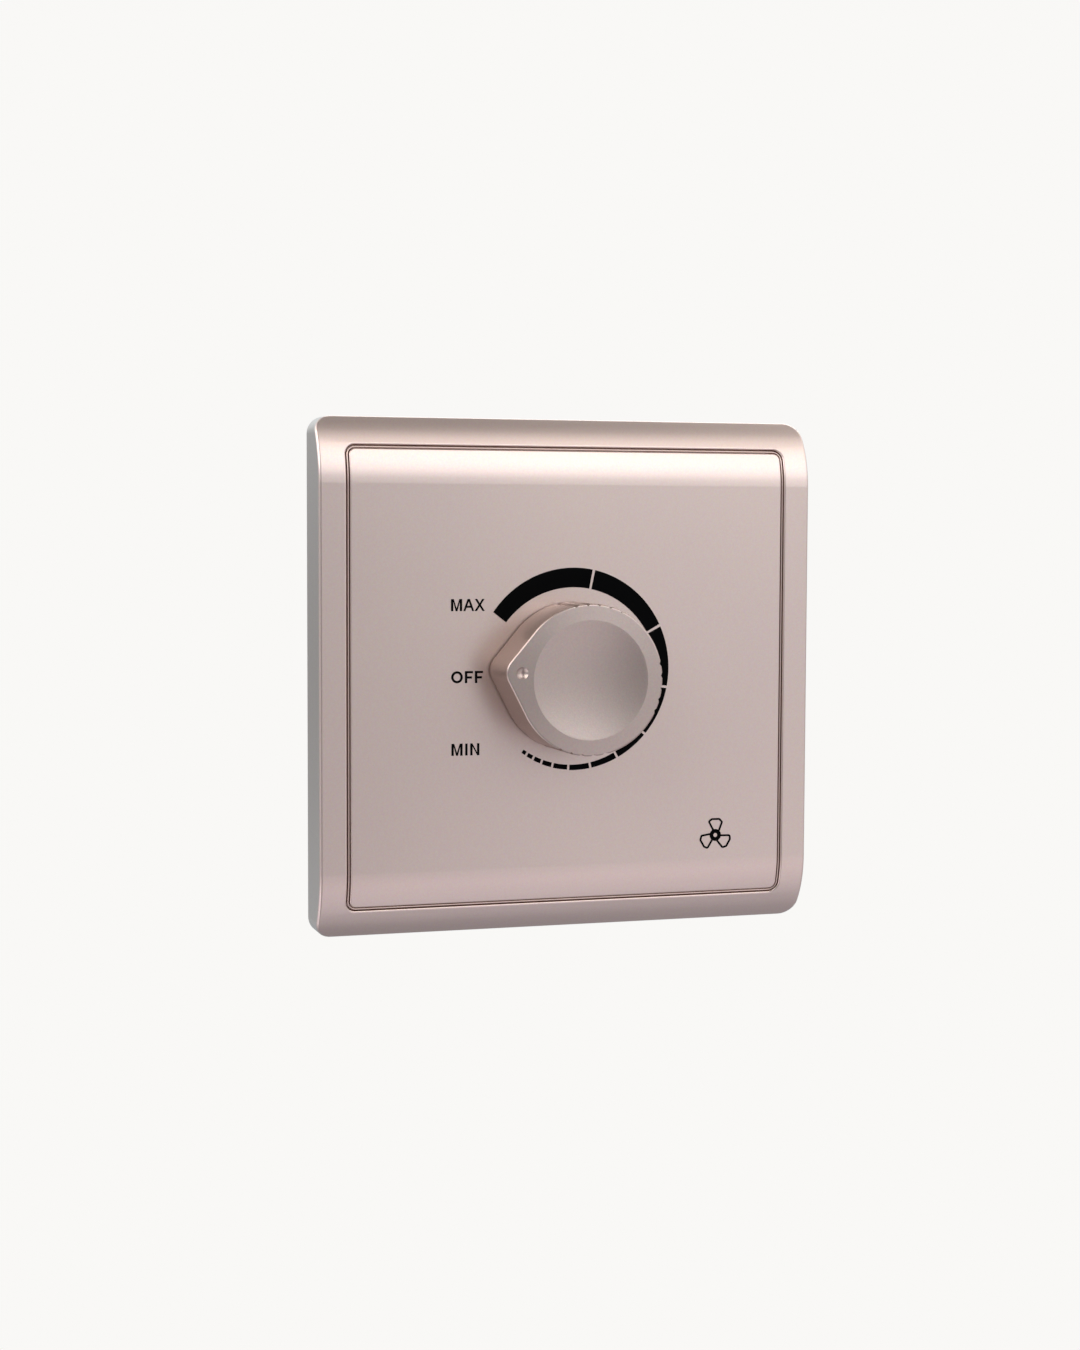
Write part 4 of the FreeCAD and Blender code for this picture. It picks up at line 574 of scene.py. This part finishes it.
def build_panel_bead():
    """A round section swept along the middle of the gap. Over the rolled ends of the face it falls
    back as the face does."""
    low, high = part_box("center_panel")
    sizes = {"Width": high.x - low.x + GAP, "Height": high.z - low.z + GAP,
             "Corner": PANEL_CORNER + GAP / 2, "Radius": BEAD_RADIUS, "Pitch": BEAD_PITCH,
             "Front": FACE + BEAD_SINK, "Curve": FACE_CURVE, "Flat": FACE_FLAT}
    tree, inputs = node_group("edge_bead", sizes)
    square = add(tree, "GeometryNodeCurvePrimitiveQuadrilateral", {
        "Width": inputs["Width"], "Height": inputs["Height"]})
    corners = add(tree, "GeometryNodeFilletCurve", {
        "Curve": square.outputs[0], "Radius": inputs["Corner"], "Count": ARC_STEPS}, mode="POLY")
    upright = add(tree, "GeometryNodeTransform", {0: corners.outputs[0], "Rotation": (math.pi / 2, 0, 0)})
    line = add(tree, "GeometryNodeResampleCurve", {"Curve": upright.outputs[0], "Length": inputs["Pitch"]},
               mode="LENGTH")
    height = add(tree, "ShaderNodeSeparateXYZ", {0: add(tree, "GeometryNodeInputPosition").outputs[0]})
    drop = rolled_back(tree, height.outputs["Z"], inputs["Flat"], inputs["Curve"])
    depth = add(tree, "ShaderNodeMath", {0: inputs["Front"], 1: drop}, operation="ADD")
    shift = add(tree, "ShaderNodeCombineXYZ", {"Y": depth.outputs[0]})
    laid = add(tree, "GeometryNodeSetPosition", {0: line.outputs[0], "Offset": shift.outputs[0]})
    section = add(tree, "GeometryNodeCurvePrimitiveCircle", {
        "Resolution": ARC_STEPS, "Radius": inputs["Radius"]})
    bead = add(tree, "GeometryNodeCurveToMesh", {
        "Curve": laid.outputs[0], "Profile Curve": section.outputs[0]})
    smooth = add(tree, "GeometryNodeSetShadeSmooth", {0: bead.outputs[0]})
    close_tree(tree, smooth.outputs[0], inputs)
    mesh = grown("panel_edge_bead", tree, sizes, paint)
    rider("panel_edge_bead", mesh, "base", "rose_gold_paint")


build_panel_bead()


# Winding of the choke. WIRE and LEAD are radii, and CHEEK is the thickness of the core's end.
CHEEK = 1.05 * MM
WIRE = 0.25 * MM
LEAD = 0.35 * MM
TURN_STEPS = 24


def build_choke_winding():
    """Enamelled wire in close turns over its inner layers, with both ends led down to the board."""
    low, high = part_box("choke_winding")
    core_low, core_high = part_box("choke_core")
    start, end = core_low.y + CHEEK, core_high.y - CHEEK
    radius = (high.x - low.x) / 2 - WIRE
    length = end - start - 2 * WIRE
    sizes = {"Radius": radius, "Wire": WIRE, "Length": length, "Turns": length / (2 * WIRE), "Lead": LEAD,
             "Lead Place": radius - 3 * LEAD, "Lead Length": start - low.y + CHEEK}
    tree, inputs = node_group("winding", sizes)
    spiral = add(tree, "GeometryNodeCurveSpiral", {
        "Resolution": TURN_STEPS, "Rotations": inputs["Turns"], "Start Radius": inputs["Radius"],
        "End Radius": inputs["Radius"], "Height": inputs["Length"]})
    section = add(tree, "GeometryNodeCurvePrimitiveCircle", {
        "Resolution": ARC_STEPS, "Radius": inputs["Wire"]})
    turns = add(tree, "GeometryNodeCurveToMesh", {
        "Curve": spiral.outputs[0], "Profile Curve": section.outputs[0], "Fill Caps": True})
    half = add(tree, "ShaderNodeMath", {0: inputs["Length"], 1: 0.5}, operation="MULTIPLY")
    middle = add(tree, "ShaderNodeCombineXYZ", {"Z": half.outputs[0]})
    layers = add(tree, "GeometryNodeMeshCylinder", {
        "Vertices": ROUND_STEPS, "Radius": inputs["Radius"], "Depth": inputs["Length"]})
    seated = add(tree, "GeometryNodeTransform", {0: layers.outputs[0], "Translation": middle.outputs[0]})
    parts = [turns, seated]
    sunk = add(tree, "ShaderNodeMath", {0: inputs["Lead Length"], 1: -0.5, 2: CHEEK},
               operation="MULTIPLY_ADD")
    for side in (-1.0, 1.0):
        across = add(tree, "ShaderNodeMath", {0: inputs["Lead Place"], 1: side}, operation="MULTIPLY")
        foot = add(tree, "ShaderNodeCombineXYZ", {"X": across.outputs[0], "Z": sunk.outputs[0]})
        lead = add(tree, "GeometryNodeMeshCylinder", {
            "Vertices": 2 * ARC_STEPS, "Radius": inputs["Lead"], "Depth": inputs["Lead Length"]})
        parts.append(add(tree, "GeometryNodeTransform", {
            0: lead.outputs[0], "Translation": foot.outputs[0]}))
    whole = tree.nodes.new("GeometryNodeJoinGeometry")
    for part in parts:
        tree.links.new(part.outputs[0], whole.inputs[0])
    smooth = add(tree, "GeometryNodeSetShadeSmooth", {0: whole.outputs[0]})
    seat = Vector(((low.x + high.x) / 2, start + WIRE, (low.z + high.z) / 2))
    laid = add(tree, "GeometryNodeTransform", {
        0: smooth.outputs[0], "Translation": seat, "Rotation": (-math.pi / 2, 0, 0)})
    close_tree(tree, laid.outputs[0], inputs)
    mesh = grown("choke_turns", tree, sizes, finishes["enamelled_copper"])
    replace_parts(rider("choke_turns", mesh, "base", "enamelled_copper"), "choke_winding")


build_choke_winding()


# Studio
BACKDROP = "#F9F8F6"
FLOOR_DROP = 0.35
FLOOR_REACH = 30.0
ROOM_HEIGHTS = (  # degrees above the horizon, and how bright the room is there
    (-90, 0.48), (-60, 0.78), (-30, 0.9), (-12, 0.9), (-5, 0.51), (0, 0.6), (5, 0.96), (10, 1.4),
    (18, 2.05), (30, 2.2), (46, 2.2), (56, 1.65), (63, 0.8), (68, 0.4), (76, 0.29), (90, 0.15))
ROOM_TINTS = (  # degrees above the horizon, and the tint of the light from there
    (-90, "#F0F2FF"), (-50, "#F0F2FF"), (-30, "#F3F2FE"), (-16, "#F3F2FE"), (-7, "#EFF5FF"),
    (0, "#F2F8FF"), (9, "#EDF5FF"), (25, "#F0F7FF"), (50, "#F5F7F9"), (68, "#F5F4F4"), (78, "#F5EEEC"),
    (90, "#F5EBE6"))
ROOM_BEARINGS = (  # degrees to the right of straight in front, and a factor on light near the horizon
    (-180, 0.52), (-120, 0.54), (-60, 0.5), (-25, 0.25), (-5, 0.22), (5, 0.34), (10, 0.46), (17, 1.0),
    (24, 1.12), (32, 1.0), (60, 0.95), (120, 0.7), (180, 0.52))
KEY_BEARINGS = (  # the same for steeper light, from softboxes high at both sides and from the floor
    (-180, 0.45), (-140, 0.55), (-100, 1.0), (-62, 1.5), (-40, 1.0), (-22, 0.25), (-4, 0.2), (5, 0.42),
    (12, 1.03), (18, 1.03), (25, 0.95), (38, 0.75), (60, 0.6), (120, 0.5), (180, 0.45))
KEY_FROM, KEY_FULL = 8, 22  # degrees up or down over which the one factor gives way to the other
BEHIND_FROM, BEHIND_FULL = 0.2, 0.8
BEHIND_TINT = "#DFF6FF"
TINT_LOSS = 1.1  # the room is that much stronger, to make up for what its tints take
BRIGHTEST = 2.2


def build_floor():
    """Pale floor far below the switch, which hangs clear of it as on a wall."""
    mesh = bpy.data.meshes.new("floor")
    corners = [(x * FLOOR_REACH, y * FLOOR_REACH, -FLOOR_DROP)
               for x, y in ((-1, -1), (1, -1), (1, 1), (-1, 1))]
    mesh.from_pydata(corners, [], [(0, 1, 2, 3)])
    floor = bpy.data.objects.new("floor", mesh)
    bpy.context.scene.collection.objects.link(floor)
    material = bpy.data.materials.new("pale studio floor")
    material.use_nodes = True
    tree = material.node_tree
    tree.nodes.clear()
    close_material(tree, add(tree, "ShaderNodeEmission", {"Color": linear(BACKDROP)}))
    mesh.materials.append(material)
    floor.visible_glossy = False
    floor.visible_diffuse = False


def ramp(tree, value, low, high, stops):
    """Colour along a range of degrees, eased between its stops."""
    share = add(tree, "ShaderNodeMapRange", {"Value": value, "From Min": low, "From Max": high})
    blend = add(tree, "ShaderNodeValToRGB", {"Fac": share.outputs[0]})
    blend.color_ramp.interpolation = "CARDINAL"
    elements = blend.color_ramp.elements
    for number, (degrees, colour) in enumerate(stops):
        place = (degrees - low) / (high - low)
        element = elements[number] if number < 2 else elements.new(place)
        element.position = place
        element.color = colour
    return blend.outputs["Color"]


def greys(stops):
    """Levels of brightness as greys, as shares of the brightest."""
    return [(degrees, (level / BRIGHTEST,) * 3 + (1,)) for degrees, level in stops]


def build_world():
    """Studio dome. Light comes from high at the right of the front and high at the left, and the
    floor glows below. The camera sees only the plain backdrop."""
    world = bpy.data.worlds.new("studio")
    bpy.context.scene.world = world
    world.use_nodes = True
    tree = world.node_tree
    tree.nodes.clear()
    way = add(tree, "ShaderNodeSeparateXYZ", {0: add(tree, "ShaderNodeTexCoord").outputs["Generated"]})
    rise = add(tree, "ShaderNodeMath", {0: way.outputs["Z"]}, operation="ARCSINE")
    forward = add(tree, "ShaderNodeMath", {0: way.outputs["Y"], 1: -1.0}, operation="MULTIPLY")
    turn = add(tree, "ShaderNodeMath", {0: way.outputs["X"], 1: forward.outputs[0]}, operation="ARCTAN2")
    elevation, bearing = [add(tree, "ShaderNodeMath", {0: angle.outputs[0]}, operation="DEGREES").outputs[0]
                          for angle in (rise, turn)]
    height = ramp(tree, elevation, -90, 90, greys(ROOM_HEIGHTS))
    tint = ramp(tree, elevation, -90, 90, [(stop, linear(code)) for stop, code in ROOM_TINTS])
    low = ramp(tree, bearing, -180, 180, greys(ROOM_BEARINGS))
    key = ramp(tree, bearing, -180, 180, greys(KEY_BEARINGS))
    steep = add(tree, "ShaderNodeMath", {0: elevation}, operation="ABSOLUTE")
    lift = add(tree, "ShaderNodeMapRange", {
        "Value": steep.outputs[0], "From Min": KEY_FROM, "From Max": KEY_FULL},
        interpolation_type="SMOOTHSTEP")
    factor = add(tree, "ShaderNodeMix", {"Factor": lift.outputs[0], 6: low, 7: key}, data_type="RGBA")
    level = add(tree, "ShaderNodeMix", {"Factor": 1.0, 6: height, 7: factor.outputs[2]}, data_type="RGBA",
                blend_type="MULTIPLY")
    behind = add(tree, "ShaderNodeMapRange", {
        "Value": way.outputs["Y"], "From Min": BEHIND_FROM, "From Max": BEHIND_FULL})
    cooler = add(tree, "ShaderNodeMix", {
        "Factor": behind.outputs[0], 6: tint, 7: linear(BEHIND_TINT)}, data_type="RGBA")
    tinted = add(tree, "ShaderNodeMix", {"Factor": 1.0, 6: level.outputs[2], 7: cooler.outputs[2]},
                 data_type="RGBA", blend_type="MULTIPLY")
    # the height's level and the bearing's factor are both shares of the brightest
    room = add(tree, "ShaderNodeBackground", {
        "Color": tinted.outputs[2], "Strength": TINT_LOSS * BRIGHTEST ** 2})
    backdrop = add(tree, "ShaderNodeBackground", {"Color": linear(BACKDROP)})
    seen = add(tree, "ShaderNodeLightPath").outputs["Is Camera Ray"]
    both = add(tree, "ShaderNodeMixShader", {0: seen, 1: room.outputs[0], 2: backdrop.outputs[0]})
    add(tree, "ShaderNodeOutputWorld", {"Surface": both.outputs[0]})


def direction(azimuth, elevation):
    """Direction to a point that many degrees to the right of straight in front, and that many up."""
    turn, rise = math.radians(azimuth), math.radians(elevation)
    return Vector((math.sin(turn) * math.cos(rise), -math.cos(turn) * math.cos(rise), math.sin(rise)))


def softbox(name, azimuth, elevation, distance, width, height, radiance):
    """Rectangular lamp aimed at the switch. Azimuth 0 is in front of it and grows to the right."""
    lamp = bpy.data.lights.new(name, "AREA")
    lamp.shape = "RECTANGLE"
    lamp.size, lamp.size_y = width, height
    lamp.energy = radiance * math.pi * width * height
    holder = bpy.data.objects.new(name, lamp)
    bpy.context.scene.collection.objects.link(holder)
    towards = direction(azimuth, elevation)
    holder.location = towards * distance
    holder.rotation_euler = towards.to_track_quat("Z", "Y").to_euler()
    holder.visible_camera = False


# Camera, fitted to the plate's corners, the groove and the knob in the photograph. Its angles are in
# degrees, its distances in millimetres, and its focal length and the picture's height in pixels.
CAMERA_TURN = -17.407
CAMERA_RISE = 3.802
CAMERA_ROLL = 0.2055
CAMERA_DISTANCE = 388.157
CAMERA_ACROSS, CAMERA_UP = 2.4036, 0.40805
FOCAL_PIXELS = 2259.92
IMAGE_HEIGHT = 1350
SENSOR = 36.0


def build_camera():
    turn, roll = math.radians(CAMERA_TURN), math.radians(CAMERA_ROLL)
    back = direction(CAMERA_TURN, CAMERA_RISE)
    level = Vector((math.cos(turn), math.sin(turn), 0))
    upright = back.cross(level)
    right = math.cos(roll) * level + math.sin(roll) * upright
    up = math.cos(roll) * upright - math.sin(roll) * level
    place = (back * CAMERA_DISTANCE - right * CAMERA_ACROSS - up * CAMERA_UP) * MM
    lens = bpy.data.cameras.new("camera")
    lens.sensor_width = SENSOR
    lens.lens = SENSOR * FOCAL_PIXELS / IMAGE_HEIGHT
    lens.clip_start, lens.clip_end = 0.01, 100.0
    camera = bpy.data.objects.new("camera", lens)
    bpy.context.scene.collection.objects.link(camera)
    camera.matrix_world = Matrix.Translation(place) @ Matrix((right, up, back)).transposed().to_4x4()
    bpy.context.scene.camera = camera


build_floor()
build_world()
softbox("rear_softbox", azimuth=150, elevation=35, distance=1.2, width=0.8, height=0.8, radiance=1.5)
build_camera()
bpy.context.scene.view_settings.view_transform = "Standard"
